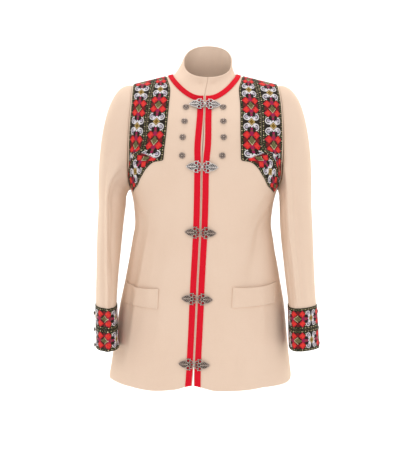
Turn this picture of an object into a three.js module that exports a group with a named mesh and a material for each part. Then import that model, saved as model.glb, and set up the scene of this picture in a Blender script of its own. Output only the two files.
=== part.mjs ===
/**
 * Wool jacket with a stand collar, braided edges, ribbon yokes and ribbon cuffs.
 *
 * Millimetres, +Z up. The front faces -Y. Left and right are the wearer's, so the
 * wearer's left is at +X. The origin is the middle of the neck base, level with the
 * inner ends of the shoulder seams. Every piece of cloth is a closed wall: a grid of
 * outer points, the same points moved inwards, and a rim round the edge.
 */
import * as THREE from "three";

// ---- Driving sizes, mm ----
const CLOTH = 2.2; // thickness of the wool
const SEAM_GAP = 0.3; // between neighbouring pieces
const NECK = { halfWidth: 70, front: 72, back: 60, roundness: 2.3 };
const SHOULDER = { tipX: 164, drop: 23 };
const NECK_FRONT_Z = -44; // where the neck seam meets the front edges
const UNDERARM_Z = -258;
const HEM_Z = -682;
const BODY_ROUNDNESS = 2.3; // exponent of the superelliptic rings
const ROLL_LENGTH = 220; // surface length of the turn over the shoulder
const ROLL_START_Z = -180; // where the body starts to turn over the shoulder
const FRONT_ROLL = { atNeck: 1.6, atTip: 2.2 }; // roundness of that turn
const BACK_ROLL = { atNeck: 3, atTip: 2.4 };
const COLLAR = { topHalfWidth: 55, topFront: 51, topBack: 51, topZ: 30.5, topSlope: 0.7, lean: 8 };
const COLLAR_HOLLOW = 3; // the collar curves in between seam and top
const BRAID = { width: 14.2, atShoulder: 11.5, frontWidth: 13.7, thickness: 1.6 };
const RIBBON = { thickness: 1.2, cuffHeight: 46.6 };
const LIFT = 0.9; // between a panel's curve and what is sewn on it
const CLASP = { length: 31.5, height: 28, thickness: 2, lift: 2.9, middleX: 0.6 };
const TOP_CLASP_LIFT = 3.7; // over the curve of the chest
const FRONT_BUTTON = { radius: 6.8, height: 4.6 };
const CUFF_BUTTON = { radius: 5, height: 4.2 };

// ---- Grids ----
const PANEL_COLUMNS = 12;
const NECK_COLUMNS = 6;
const UPPER_ROWS = 12;
const LOWER_ROWS = 10;
const SEAM_STATION = 8; // armhole station where the sleeve's long seams end

const NORMAL_STEP = { turn: 0.02, rise: 2 };

const HALF_PI = Math.PI / 2;
const HALF_GAP = SEAM_GAP / 2;
const SLEEVE_TRIM = 0.75 * SEAM_GAP; // at the long seams, whose edges twist
const SIDES = [{ name: "right", sign: -1 }, { name: "left", sign: 1 }];

/** Body rings from the top down: half width, depths, turn about Z in degrees, shift in X. */
const BODY_RINGS = [
  { z: 20, halfWidth: 194, front: 116, back: 112, yaw: 0, shift: 0 },
  { z: -60, halfWidth: 194, front: 118, back: 114, yaw: 0, shift: 0 },
  { z: -102, halfWidth: 194, front: 126, back: 119, yaw: -0.8, shift: 0 },
  { z: -145, halfWidth: 193, front: 130, back: 121, yaw: -1.7, shift: 0 },
  { z: -180, halfWidth: 190, front: 132, back: 121, yaw: -2.4, shift: 0 },
  { z: -224, halfWidth: 181, front: 134, back: 119, yaw: -2.7, shift: -0.5 },
  { z: -258, halfWidth: 165, front: 132, back: 115, yaw: -2.7, shift: -1 },
  { z: -294, halfWidth: 157, front: 128, back: 110, yaw: -2.7, shift: -2 },
  { z: -332, halfWidth: 154, front: 125, back: 107, yaw: -2.8, shift: -3 },
  { z: -371, halfWidth: 160, front: 126, back: 110, yaw: -3.4, shift: -3.5 },
  { z: -418, halfWidth: 168, front: 130, back: 116, yaw: -4.2, shift: -4 },
  { z: -461, halfWidth: 176, front: 134, back: 122, yaw: -4.8, shift: -4.5 },
  { z: -522, halfWidth: 188, front: 139, back: 129, yaw: -5.3, shift: -5.5 },
  { z: -619, halfWidth: 200, front: 144, back: 136, yaw: -6, shift: -8 },
  { z: -690, halfWidth: 210, front: 149, back: 141, yaw: -6.2, shift: -10 },
];

/** Armhole edges, from the shoulder tip down to the underarm: distance from the middle. */
const ARMHOLE = [
  { z: -SHOULDER.drop, right: 162, left: 165.5 },
  { z: -60, right: 163.5, left: 171 },
  { z: -102, right: 165.5, left: 174 },
  { z: -145, right: 166.5, left: 176 },
  { z: -224, right: 166, left: 174 },
  { z: UNDERARM_Z, right: 165, left: 165 },
];

/** Half of the opening between the two front edges. */
const FRONT_OPENING = [
  { z: -40, half: 0.5 },
  { z: -80, half: 0.4 },
  { z: -150, half: 0.9 },
  { z: -198, half: 0.4 },
  { z: -630, half: 0.4 },
  { z: -700, half: 2.6 },
];

/** Distance of the front braids from the front edges. */
const BRAID_INSETS = [
  { z: -40, inset: 1.7 },
  { z: -80, inset: 1.7 },
  { z: -150, inset: 3.3 },
  { z: -198, inset: 1.7 },
  { z: -700, inset: 1.7 },
];

/** Lowest edge round the body: angle from centre front in degrees, rise above HEM_Z. */
const HEM_CURVE = [
  { angle: -180, rise: -6 },
  { angle: -90, rise: -2 },
  { angle: -42, rise: -5 },
  { angle: -23, rise: -9 },
  { angle: -8, rise: -3 },
  { angle: 0, rise: 6.5 },
  { angle: 5, rise: 1 },
  { angle: 11, rise: -4 },
  { angle: 30, rise: -5 },
  { angle: 44, rise: -1.5 },
  { angle: 90, rise: -4 },
  { angle: 180, rise: -6 },
];

/** Largest soft folds: centre angles at top and bottom, height range, depth out (+) or in (-). */
const FOLDS = [
  { top: -250, bottom: -470, from: -60, to: -62, width: 6, depth: 3 },
  { top: -270, bottom: -470, from: 78, to: 30, width: 11, depth: -4 },
  { top: -300, bottom: -730, from: 13, to: 15, width: 6, depth: 2.5 },
  { top: -520, bottom: -760, from: -38, to: -42, width: 12, depth: 3.5 },
  { top: -520, bottom: -760, from: 58, to: 62, width: 13, depth: 4 },
  { top: -250, bottom: -420, from: 150, to: 124, width: 11, depth: -4 },
  { top: -260, bottom: -430, from: -148, to: -126, width: 11, depth: -4 },
  { top: -430, bottom: -760, from: 166, to: 160, width: 11, depth: 5 },
  { top: -450, bottom: -760, from: -162, to: -154, width: 12, depth: 4.5 },
  { top: -480, bottom: -760, from: 126, to: 122, width: 12, depth: 4 },
];

/** Sleeve rings below the underarm: inner, outer, front crease and heel X, middle and half Y. */
const SLEEVE_RINGS = {
  right: [
    { z: -292, inner: 178, outer: 238, crease: 214, heel: 216, middle: -4, half: 80 },
    { z: -350, inner: 184, outer: 241.5, crease: 214, heel: 222, middle: -14, half: 73 },
    { z: -420, inner: 189, outer: 243, crease: 213, heel: 228, middle: -32, half: 66 },
    { z: -480, inner: 194, outer: 243.5, crease: 212, heel: 230, middle: -50, half: 60 },
    { z: -507, inner: 196, outer: 243, crease: 212, heel: 230, middle: -58, half: 57 },
    { z: -603, inner: 192, outer: 241, crease: 212, heel: 230, middle: -76, half: 55 },
  ],
  left: [
    { z: -292, inner: 170, outer: 243, crease: 182, heel: 212, middle: -4, half: 77 },
    { z: -350, inner: 171.5, outer: 245, crease: 186, heel: 218, middle: -14, half: 70 },
    { z: -420, inner: 177, outer: 246.5, crease: 194, heel: 226, middle: -32, half: 64 },
    { z: -480, inner: 184, outer: 248, crease: 200, heel: 232, middle: -50, half: 58 },
    { z: -507, inner: 187, outer: 250, crease: 203, heel: 234, middle: -58, half: 55 },
    { z: -603, inner: 190, outer: 255, crease: 207, heel: 238, middle: -76, half: 53 },
  ],
};
const SLEEVE_ROUNDNESS = 1.85; // a little pointed at the two long seams
const CAP_ROUNDNESS = 2.45;
const CAP_WARP = Math.PI / 6; // moves the long seams down towards the underarm at the armhole

/** Shoulder ribbons from top to tip: X and Z of the inner edge and the joint, Z of the outer edge. */
const YOKE_ROWS = [
  { inner: [87, -4], joint: [109, -9.4], outerZ: -21.5 },
  { inner: [80, -15], joint: [112, -20], outerZ: -32 },
  { inner: [74.5, -36], joint: [117, -40], outerZ: -52 },
  { inner: [77, -68], joint: [121.5, -70], outerZ: -80 },
  { inner: [78.5, -100], joint: [124, -100], outerZ: -110 },
  { inner: [80, -132], joint: [125.5, -132], outerZ: -138 },
  { inner: [82, -160], joint: [128, -154], outerZ: -164 },
  { inner: [84, -184], joint: [140, -167], outerZ: -180 },
  { inner: [104, -189], joint: [151, -180], outerZ: -196 },
  { inner: [119, -201], joint: [158, -193], outerZ: -212 },
  { inner: [131.5, -220], joint: [163, -209], outerZ: -226 },
  { inner: [142, -241], joint: [165, -226], outerZ: -239 },
  { inner: [156, -259], joint: [165, -246], outerZ: -252 },
];
const YOKE_INSET = 4; // from the armhole edge to the outer ribbon

/** Pocket welts, right and left: X range at the side seam end and at the inner end, with heights. */
const POCKETS = {
  right: { innerX: 85.5, outerX: 168, topInner: -466, topOuter: -461, height: 45 },
  left: { innerX: 76, outerX: 168, topInner: -460, topOuter: -458, height: 45 },
};

const POCKET_GAPE = 2.2; // of the welt's top edge

/** Heights of the clasps down the front. */
const CLASP_ZS = [-66, -198, -341, -485, -628];

/** Centres of the buttons beside the front edges, from the top, measured from centre front. */
const FRONT_BUTTONS = [
  { z: -71, x: 40.5 },
  { z: -101, x: 42 },
  { z: -135, x: 44 },
  { z: -174, x: 43 },
];
const CUFF_BUTTON_ZS = [-530, -566, -600];

const WOOL = { color: 0xf1dcc0, roughness: 0.95, metalness: 0 };
const RED_BRAID = { color: 0xd8122e, roughness: 0.9, metalness: 0 };
const WOVEN_RIBBON = { color: 0x1a1512, roughness: 0.8, metalness: 0 };
const PEWTER = { color: 0x87807a, roughness: 0.38, metalness: 1 };

// ---- Small maths ----
const { clamp, degToRad, lerp, smoothstep } = THREE.MathUtils;

/** Turns each column of a table into a smooth function of its key column. */
function curves(rows, key) {
  const result = {};
  for (const column of Object.keys(rows[0]).filter((name) => name !== key)) {
    result[column] = curveThrough(rows.map((row) => row[key]), rows.map((row) => row[column]));
  }
  return result;
}

/** A curve through points that never swings past them. */
function curveThrough(keys, values) {
  const last = keys.length - 1;
  const steps = keys.slice(1).map((at, i) => at - keys[i]);
  const rises = steps.map((step, i) => (values[i + 1] - values[i]) / step);
  const slopes = keys.map((_, i) => {
    if (i === 0) return rises[0];
    if (i === last) return rises[last - 1];
    const product = rises[i - 1] * rises[i];
    return product <= 0 ? 0 : (2 * product) / (rises[i - 1] + rises[i]);
  });
  const falling = keys[0] > keys[last];
  return (at) => {
    const place = falling ? clamp(at, keys[last], keys[0]) : clamp(at, keys[0], keys[last]);
    let i = 0;
    while (i < last - 1 && (falling ? place < keys[i + 1] : place > keys[i + 1])) i += 1;
    const t = (place - keys[i]) / steps[i];
    const rise = 3 * t ** 2 - 2 * t ** 3;
    const leave = t ** 3 - 2 * t ** 2 + t;
    const arrive = t ** 3 - t ** 2;
    return lerp(values[i], values[i + 1], rise) + steps[i] * (leave * slopes[i] + arrive * slopes[i + 1]);
  };
}

const body = curves(BODY_RINGS, "z");
const armholeEdges = curves(ARMHOLE, "z");
const armholeX = (side, z) => (side < 0 ? armholeEdges.right(z) : armholeEdges.left(z));
const openingHalf = curves(FRONT_OPENING, "z").half;
const braidInset = curves(BRAID_INSETS, "z").inset;
const hemRise = curves(HEM_CURVE, "angle").rise;
const sleeveRings = {
  right: curves(SLEEVE_RINGS.right, "z"),
  left: curves(SLEEVE_RINGS.left, "z"),
};

/** Finds where a rising function reaches a value. */
function solve(fn, target, low, high) {
  let [a, b] = [low, high];
  for (let i = 0; i < 40; i += 1) {
    const middle = (a + b) / 2;
    if (fn(middle) < target) a = middle;
    else b = middle;
  }
  return (a + b) / 2;
}

const unit = (v) => v.clone().normalize();

// ---- Body surface ----
/** Height of the shoulder line at a distance from the middle, level at centre back. */
function ridgeHeight(x, front = true) {
  const eased = NECK.halfWidth / 2 + x ** 2 / (2 * NECK.halfWidth);
  const reach = front || x >= NECK.halfWidth ? x : eased;
  return (-SHOULDER.drop * (reach - NECK.halfWidth)) / (SHOULDER.tipX - NECK.halfWidth);
}

/** How far the folds push the cloth out at an angle and height. */
function foldDepth(theta, z) {
  const degrees = THREE.MathUtils.radToDeg(theta);
  let sum = 0;
  for (const fold of FOLDS) {
    const t = (z - fold.top) / (fold.bottom - fold.top);
    if (t <= 0 || t >= 1) continue;
    const off = (degrees - lerp(fold.from, fold.to, t)) / fold.width;
    sum += fold.depth * Math.sin(Math.PI * t) * Math.exp(-off * off);
  }
  return sum;
}

/** Angle round the body that reaches a distance from the middle at a height. */
function angleAt(x, z) {
  const ratio = clamp(x / body.halfWidth(z), 0, 1);
  return Math.asin(ratio ** (BODY_ROUNDNESS / 2));
}

/**
 * A point of the body's outer surface. theta runs from 0 at centre front to +-PI at
 * centre back. climb is the height above the start of the shoulder turn, and past 0
 * it is the way along that turn.
 */
function bodyPoint(theta, climb) {
  const side = theta < 0 ? -1 : 1;
  const front = Math.abs(theta) <= HALF_PI;
  const phi = clamp(front ? Math.abs(theta) : Math.PI - Math.abs(theta), 0, HALF_PI);
  const roll = front ? FRONT_ROLL : BACK_ROLL;
  const power = 2 / BODY_ROUNDNESS;
  const across = Math.sin(phi) ** power;
  let z = ROLL_START_Z + Math.min(climb, 0);
  let fade = 1;
  if (climb > 0) {
    const turn = Math.min(climb / ROLL_LENGTH, 1) * HALF_PI;
    for (let i = 0; i < 6; i += 1) {
      const x = body.halfWidth(z) * across;
      const bend = 2 / lerp(roll.atNeck, roll.atTip, smoothstep(x, 0, 130));
      z = ROLL_START_Z + (ridgeHeight(x, front) - ROLL_START_Z) * Math.sin(turn) ** bend;
      fade = Math.max(Math.cos(turn), 0) ** bend;
    }
  }
  const depth = front ? -body.front(z) : body.back(z);
  const along = Math.max(Math.cos(phi), 0) ** power;
  const point = new THREE.Vector3(side * body.halfWidth(z) * across, depth * along * fade, z);
  const outward = new THREE.Vector3(point.x, point.y, 0).normalize();
  point.addScaledVector(outward, foldDepth(theta, z));
  point.applyAxisAngle(new THREE.Vector3(0, 0, 1), degToRad(body.yaw(z)));
  point.x += body.shift(z);
  return point;
}

/** Way up the body surface that reaches a height, for one angle. */
function climbAt(theta, z) {
  if (z <= ROLL_START_Z) return z - ROLL_START_Z;
  return solve((climb) => bodyPoint(theta, climb).z, z, 0, ROLL_LENGTH);
}

/** Outward normal of a surface function of two values, taken inside its range. */
function normalOf(surface, a, b, stepA, stepB) {
  const here = surface(a, b);
  const alongA = surface(a + stepA, b).sub(here).multiplyScalar(Math.sign(stepA));
  const alongB = surface(a, b + stepB).sub(here).multiplyScalar(Math.sign(stepB));
  return alongA.cross(alongB).normalize();
}

/** Normal of the body surface, its steps kept inside one quarter of the ring. */
function bodyNormal(theta, climb) {
  const { turn, rise } = NORMAL_STEP;
  const quarter = Math.round(theta / HALF_PI) * HALF_PI;
  const away = theta >= quarter ? turn : -turn;
  const atCentreBack = Math.abs(theta) > Math.PI - turn;
  const stepTheta = atCentreBack ? -Math.sign(theta) * turn : away;
  return normalOf(bodyPoint, theta, climb, stepTheta, climb > ROLL_LENGTH / 2 ? -rise : rise);
}

/** Body point and normal at a distance from the middle, at a height, on the front. */
function frontSpot(x, z) {
  const theta = Math.sign(x) * angleAt(Math.abs(x), z);
  const climb = climbAt(theta, z);
  return { point: bodyPoint(theta, climb), normal: bodyNormal(theta, climb) };
}

/** Height of the lowest edge at an angle round the body. */
function hemHeight(theta) {
  return HEM_Z + hemRise(THREE.MathUtils.radToDeg(theta));
}

/** Neck seam at an angle round the neck: surface coordinates on the body. */
function neckSpot(psi, front = Math.abs(psi) <= HALF_PI) {
  const power = 2 / NECK.roundness;
  const across = Math.abs(Math.sin(psi)) ** power;
  const away = Math.max(Math.abs(Math.cos(psi)), 0) ** power;
  return planSpot(psi, NECK.halfWidth * across, (front ? NECK.front : NECK.back) * away, front);
}

/** Surface coordinates on the shoulders at a plan place, x from the middle and y from the ridge. */
function planSpot(psi, x, y, front = Math.abs(psi) <= HALF_PI) {
  const side = psi < 0 ? -1 : 1;
  const power = 2 / BODY_ROUNDNESS;
  const roll = front ? FRONT_ROLL : BACK_ROLL;
  const place = (climb) => {
    const turn = (climb / ROLL_LENGTH) * HALF_PI;
    const bend = 2 / lerp(roll.atNeck, roll.atTip, smoothstep(x, 0, 130));
    const z = ROLL_START_Z + (ridgeHeight(x, front) - ROLL_START_Z) * Math.sin(turn) ** bend;
    const phi = angleAt(x, z);
    const depth = (front ? body.front(z) : body.back(z)) * Math.cos(phi) ** power;
    return { phi, reach: depth * Math.max(Math.cos(turn), 0) ** bend };
  };
  const climb = solve((at) => -place(at).reach, -y, 0, ROLL_LENGTH);
  const { phi } = place(climb);
  return { theta: side * (front ? phi : Math.PI - phi), climb };
}

// ---- Walls ----
/**
 * Closed wall from a grid of outer points and a grid of inner points.
 * Rows run along the first index. A wrapped wall joins its last row to its first.
 */
function wall(outer, inner, wrapped = false) {
  const rows = outer.length;
  const columns = outer[0].length;
  const points = [...outer.flat(), ...inner.flat()];
  const shift = rows * columns;
  const index = [];
  const at = (i, j, level) => level * shift + (i % rows) * columns + j;
  const quad = (a, b, c, d) => index.push(a, b, c, a, c, d);
  const lastRow = wrapped ? rows : rows - 1;
  for (let i = 0; i < lastRow; i += 1) {
    for (let j = 0; j < columns - 1; j += 1) {
      quad(at(i, j, 0), at(i + 1, j, 0), at(i + 1, j + 1, 0), at(i, j + 1, 0));
      quad(at(i, j, 1), at(i, j + 1, 1), at(i + 1, j + 1, 1), at(i + 1, j, 1));
    }
    quad(at(i, 0, 1), at(i + 1, 0, 1), at(i + 1, 0, 0), at(i, 0, 0));
    quad(at(i, columns - 1, 0), at(i + 1, columns - 1, 0), at(i + 1, columns - 1, 1), at(i, columns - 1, 1));
  }
  if (!wrapped) {
    for (let j = 0; j < columns - 1; j += 1) {
      quad(at(0, j, 0), at(0, j + 1, 0), at(0, j + 1, 1), at(0, j, 1));
      quad(at(rows - 1, j, 1), at(rows - 1, j + 1, 1), at(rows - 1, j + 1, 0), at(rows - 1, j, 0));
    }
  }
  const geometry = new THREE.BufferGeometry();
  const numbers = points.flatMap((point) => point.toArray());
  geometry.setAttribute("position", new THREE.Float32BufferAttribute(numbers, 3));
  const facesIn = signedVolume(points, index) < 0;
  geometry.setIndex(facesIn ? index.reverse() : index);
  return geometry;
}

/** Six times the volume inside a triangle mesh, negative where its faces point in. */
function signedVolume(points, index) {
  let sum = 0;
  for (let k = 0; k < index.length; k += 3) {
    const [a, b, c] = [points[index[k]], points[index[k + 1]], points[index[k + 2]]];
    sum += a.dot(b.clone().cross(c));
  }
  return sum;
}

/** Pulls the named outer rows and columns of both grids in by the amounts given. */
function trimSeams(outer, inner, sides) {
  const pull = (at, from, amount) => {
    const [i, j] = at;
    const step = unit(outer[from[0]][from[1]].clone().sub(outer[i][j])).multiplyScalar(amount);
    outer[i][j].add(step);
    inner[i][j].add(step);
  };
  const rows = outer.length;
  const columns = outer[0].length;
  for (let j = 0; j < columns; j += 1) {
    if (sides.lastRow) pull([rows - 1, j], [rows - 2, j], sides.lastRow);
  }
  for (let i = 0; i < rows; i += 1) {
    if (sides.firstColumn) pull([i, 0], [i, 1], sides.firstColumn);
    if (sides.lastColumn) pull([i, columns - 1], [i, columns - 2], sides.lastColumn);
  }
}

/** Closed band on top of a surface, from a grid of its points and normals. */
function bandOn(spots, thickness, wrapped = false) {
  const raised = (height) => spots.map((row) => {
    return row.map((spot) => spot.point.clone().addScaledVector(spot.normal, height));
  });
  return wall(raised(LIFT + thickness), raised(LIFT), wrapped);
}

// ---- Armhole and sleeves ----
/** Surface angle and climb of the armhole edge; alpha is 0 at the shoulder tip, PI at the underarm. */
function armholeSpot(side, alpha) {
  const front = Math.sin(alpha) >= 0;
  const top = ridgeHeight(armholeX(side, -SHOULDER.drop));
  const middle = (UNDERARM_Z + top) / 2;
  const z = middle + (top - middle) * Math.cos(alpha);
  const phi = angleAt(armholeX(side, z), z);
  const theta = side * (front ? phi : Math.PI - phi);
  return { theta, climb: z > top - 0.001 ? ROLL_LENGTH : climbAt(theta, z) };
}

/** Point of the armhole edge. */
function armholePoint(side, alpha) {
  const { theta, climb } = armholeSpot(side, alpha);
  return bodyPoint(theta, climb);
}

/** Step from the outside to the inside of the armhole seam, shared by body and sleeve. */
function armholeStep(side, alpha) {
  const { theta, climb } = armholeSpot(side, alpha);
  const along = armholePoint(side, alpha + 0.05).sub(armholePoint(side, alpha - 0.05));
  const round = along.cross(new THREE.Vector3(-side, 0, 0)).normalize();
  const centre = armholePoint(side, 0).add(armholePoint(side, Math.PI)).multiplyScalar(0.5);
  if (round.dot(armholePoint(side, alpha).sub(centre)) < 0) round.negate();
  const mitre = bodyNormal(theta, climb).add(round).normalize();
  return mitre.multiplyScalar(-CLOTH * 1.15);
}

/**
 * A point of the sleeve's outer surface. Angle 0 faces away from the body, a quarter
 * turn faces the front. way runs from 0 at the wrist to 1 at the top ring of the
 * sleeve's tube and 2 at the armhole.
 */
function sleevePoint(side, angle, way) {
  const rings = side.sign < 0 ? sleeveRings.right : sleeveRings.left;
  const table = SLEEVE_RINGS[side.name];
  const z = lerp(table[table.length - 1].z, table[0].z, Math.min(way, 1));
  const power = 2 / SLEEVE_ROUNDNESS;
  const [inner, outer] = [rings.inner(z), rings.outer(z)];
  const half = (outer - inner) / 2;
  const shape = (value) => Math.sign(value) * Math.abs(value) ** power;
  const ridge = Math.sin(angle) > 0 ? rings.crease(z) : rings.heel(z);
  const skew = (ridge - (inner + outer) / 2) * Math.sin(angle) ** 2;
  const x = (inner + outer) / 2 + half * shape(Math.cos(angle)) + skew;
  const low = new THREE.Vector3(side.sign * x, rings.middle(z) - rings.half(z) * shape(Math.sin(angle)), z);
  if (way <= 1) return low;
  const arc = (way - 1) * HALF_PI;
  const high = armholePoint(side.sign, angle + CAP_WARP * Math.sin(angle));
  const leave = Math.max(Math.cos(arc), 0) ** (2 / CAP_ROUNDNESS);
  const rise = Math.sin(arc) ** (2 / CAP_ROUNDNESS);
  const point = high.clone().lerp(low, leave);
  point.z = lerp(low.z, high.z, rise);
  return point;
}

/** Step from the outside to the inside of the sleeve at a place. */
function sleeveStep(side, angle, way) {
  if (way >= 2) return armholeStep(side.sign, angle + CAP_WARP * Math.sin(angle));
  const round = sleevePoint(side, angle + 0.06, way).sub(sleevePoint(side, angle - 0.06, way));
  const above = sleevePoint(side, angle, Math.min(way + 0.02, 2));
  const up = above.sub(sleevePoint(side, angle, Math.max(way - 0.02, 0)));
  const normal = round.cross(up).normalize();
  const middle = sleevePoint(side, 0, way).add(sleevePoint(side, Math.PI, way)).multiplyScalar(0.5);
  if (normal.dot(sleevePoint(side, angle, way).sub(middle)) < 0) normal.negate();
  return normal.multiplyScalar(-CLOTH);
}

const SLEEVE_WAYS = [0, 0.145, 0.3, 0.44, 0.58, 0.72, 0.86, 1, 1.12, 1.25, 1.4, 1.55, 1.7, 1.85, 2];

/** Angle round the sleeve that meets the armhole at alpha. */
function sleeveAngle(alpha) {
  return solve((angle) => angle + CAP_WARP * Math.sin(angle), alpha, -Math.PI, 2 * Math.PI);
}

/** One of the sleeve's two long pieces, between two armhole stations of the body's grid. */
function sleevePiece(side, from, to) {
  const outer = [];
  const inner = [];
  const columns = to - from;
  for (const way of SLEEVE_WAYS) {
    const angles = Array.from({ length: columns + 1 }, (_, j) => {
      return sleeveAngle(((from + j) * Math.PI) / UPPER_ROWS);
    });
    outer.push(angles.map((angle) => sleevePoint(side, angle, way)));
    inner.push(angles.map((angle) => sleevePoint(side, angle, way).add(sleeveStep(side, angle, way))));
  }
  trimSeams(outer, inner, { firstColumn: SLEEVE_TRIM, lastColumn: SLEEVE_TRIM });
  for (const point of [...outer.at(-1), ...inner.at(-1)]) point.x += side.sign * SEAM_GAP;
  return wall(outer, inner);
}

/** One woven ribbon round the end of a sleeve. */
function cuffRibbon(side, low, high) {
  const table = SLEEVE_RINGS[side.name];
  const wrist = table[table.length - 1].z;
  const wayAt = (z) => (z - wrist) / (table[0].z - wrist);
  const spots = Array.from({ length: 26 }, (_, i) => {
    const angle = (i / 26) * Math.PI * 2;
    return [low, (low + high) / 2, high].map((rise) => {
      const way = wayAt(wrist + rise);
      return { point: sleevePoint(side, angle, way), normal: unit(sleeveStep(side, angle, way).negate()) };
    });
  });
  return bandOn(spots, RIBBON.thickness, true);
}

// ---- Body panels ----

/** Blend of four edge curves over a unit square, each point being { theta, climb }. */
function blend(u, v, edges) {
  const mix = (key) => {
    const [bottom, top, left, right] = [edges.bottom(u), edges.top(u), edges.left(v), edges.right(v)];
    const corners = (1 - u) * (1 - v) * edges.bottom(0)[key] + u * (1 - v) * edges.bottom(1)[key]
      + (1 - u) * v * edges.top(0)[key] + u * v * edges.top(1)[key];
    return (1 - v) * bottom[key] + v * top[key] + (1 - u) * left[key] + u * right[key] - corners;
  };
  return { theta: mix("theta"), climb: mix("climb") };
}

/** Surface coordinates of the grid of one half of the body, front or back. */
function halfPanelGrid(side, front) {
  const tip = armholeX(side, -SHOULDER.drop);
  const middle = (z) => (front ? angleAt(openingHalf(z), z) : Math.PI);
  const seam = HALF_PI;
  const top = (u) => {
    const split = NECK_COLUMNS / PANEL_COLUMNS;
    if (u <= split) {
      const psi = (u / split) * HALF_PI;
      const spot = neckSpot(front ? psi : Math.PI - psi, front);
      return { theta: u === 0 && front ? middle(NECK_FRONT_Z) : spot.theta, climb: spot.climb };
    }
    const x = lerp(NECK.halfWidth, tip, (u - split) / (1 - split));
    const phi = angleAt(x, ridgeHeight(x));
    return { theta: front ? phi : Math.PI - phi, climb: ROLL_LENGTH };
  };
  const neckTop = top(0).climb;
  const edges = {
    bottom: (u) => ({ theta: lerp(middle(UNDERARM_Z), seam, u), climb: UNDERARM_Z - ROLL_START_Z }),
    top,
    left: (v) => {
      const climb = lerp(UNDERARM_Z - ROLL_START_Z, neckTop, v);
      const z = bodyPoint(front ? 0 : Math.PI, climb).z;
      return { theta: middle(z), climb };
    },
    right: (v) => {
      const alpha = Math.PI * (1 - v);
      const spot = armholeSpot(side, front ? alpha : 2 * Math.PI - alpha);
      return { theta: Math.abs(spot.theta), climb: spot.climb };
    },
  };
  const grid = [];
  for (let i = 0; i < LOWER_ROWS; i += 1) {
    grid.push(Array.from({ length: PANEL_COLUMNS + 1 }, (_, j) => {
      const u = j / PANEL_COLUMNS;
      const hem = hemHeight(side * lerp(front ? 0 : Math.PI, seam, u));
      const z = lerp(hem, UNDERARM_Z, i / LOWER_ROWS);
      return { theta: lerp(middle(z), seam, u), climb: z - ROLL_START_Z };
    }));
  }
  for (let i = 0; i <= UPPER_ROWS; i += 1) {
    grid.push(Array.from({ length: PANEL_COLUMNS + 1 }, (_, j) => {
      return blend(j / PANEL_COLUMNS, i / UPPER_ROWS, edges);
    }));
  }
  return grid.map((row) => row.map((spot) => ({ theta: side * spot.theta, climb: spot.climb })));
}

/** Step from the outside to the inside of a body panel at grid place (i, j). */
function bodyStep(spot, side, front, i, j) {
  if (j === PANEL_COLUMNS && i > LOWER_ROWS) {
    const alpha = Math.PI * (1 - (i - LOWER_ROWS) / UPPER_ROWS);
    return armholeStep(side, front ? alpha : 2 * Math.PI - alpha);
  }
  return bodyNormal(spot.theta, spot.climb).multiplyScalar(-CLOTH);
}

/** Outer and inner point grids of half a body panel. */
function halfPanel(side, front) {
  const grid = halfPanelGrid(side, front);
  const outer = grid.map((row) => row.map((spot) => bodyPoint(spot.theta, spot.climb)));
  const inner = grid.map((row, i) => row.map((spot, j) => {
    return outer[i][j].clone().add(bodyStep(spot, side, front, i, j));
  }));
  return { outer, inner };
}

/** One of the two fronts. */
function frontPanel(side) {
  const { outer, inner } = halfPanel(side, true);
  trimSeams(outer, inner, { lastRow: HALF_GAP, lastColumn: HALF_GAP });
  return wall(outer, inner);
}

/** The back, its two halves joined along the centre. */
function backPanel() {
  const right = halfPanel(-1, false);
  const left = halfPanel(1, false);
  const join = (a, b) => a.map((row, i) => [...row.slice().reverse(), ...b[i].slice(1)]);
  const outer = join(right.outer, left.outer);
  const inner = join(right.inner, left.inner);
  trimSeams(outer, inner, { lastRow: HALF_GAP, firstColumn: HALF_GAP, lastColumn: HALF_GAP });
  return wall(outer, inner);
}

// ---- Collar ----
/** A point of the collar; psi is the angle from centre front, t is 0 at the neck seam, 1 at the top. */
function collarPoint(psi, t) {
  const spot = neckSpot(psi);
  const base = bodyPoint(spot.theta, spot.climb);
  const front = Math.abs(psi) <= HALF_PI;
  const across = Math.sign(psi) * Math.abs(Math.sin(psi)) ** (2 / NECK.roundness);
  const away = Math.abs(Math.cos(psi)) ** (2 / NECK.roundness) * (front ? -1 : 1);
  const y = away * (front ? COLLAR.topFront : COLLAR.topBack);
  const top = new THREE.Vector3(
    COLLAR.lean + COLLAR.topHalfWidth * across,
    y,
    COLLAR.topZ + COLLAR.topSlope * y,
  );
  const seam = top.clone().sub(base).setLength(SEAM_GAP);
  const point = base.add(seam).lerp(top, t);
  const hollow = COLLAR_HOLLOW * Math.sin(Math.PI * t);
  return point.add(new THREE.Vector3(-across, -away, 0).multiplyScalar(hollow));
}

/** The collar's outward normal. */
function collarNormal(psi, t) {
  return normalOf(collarPoint, psi, t, psi > 0 ? -0.04 : 0.04, t > 0.5 ? -0.05 : 0.05);
}

/** The stand collar: a band round the neck with a narrow opening at centre front. */
function standCollar() {
  const columns = 4 * NECK_COLUMNS;
  const end = Math.asin((openingHalf(NECK_FRONT_Z) / NECK.halfWidth) ** (NECK.roundness / 2));
  const outer = [];
  const inner = [];
  for (let i = 0; i <= columns; i += 1) {
    const psi = clamp((i / columns) * 2 * Math.PI, end, 2 * Math.PI - end);
    const around = psi > Math.PI ? psi - 2 * Math.PI : psi;
    const heights = [0, 0.25, 0.5, 0.75, 1];
    outer.push(heights.map((t) => collarPoint(around, t)));
    inner.push(heights.map((t) => collarPoint(around, t).addScaledVector(collarNormal(around, t), -CLOTH)));
  }
  return wall(outer, inner);
}

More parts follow.
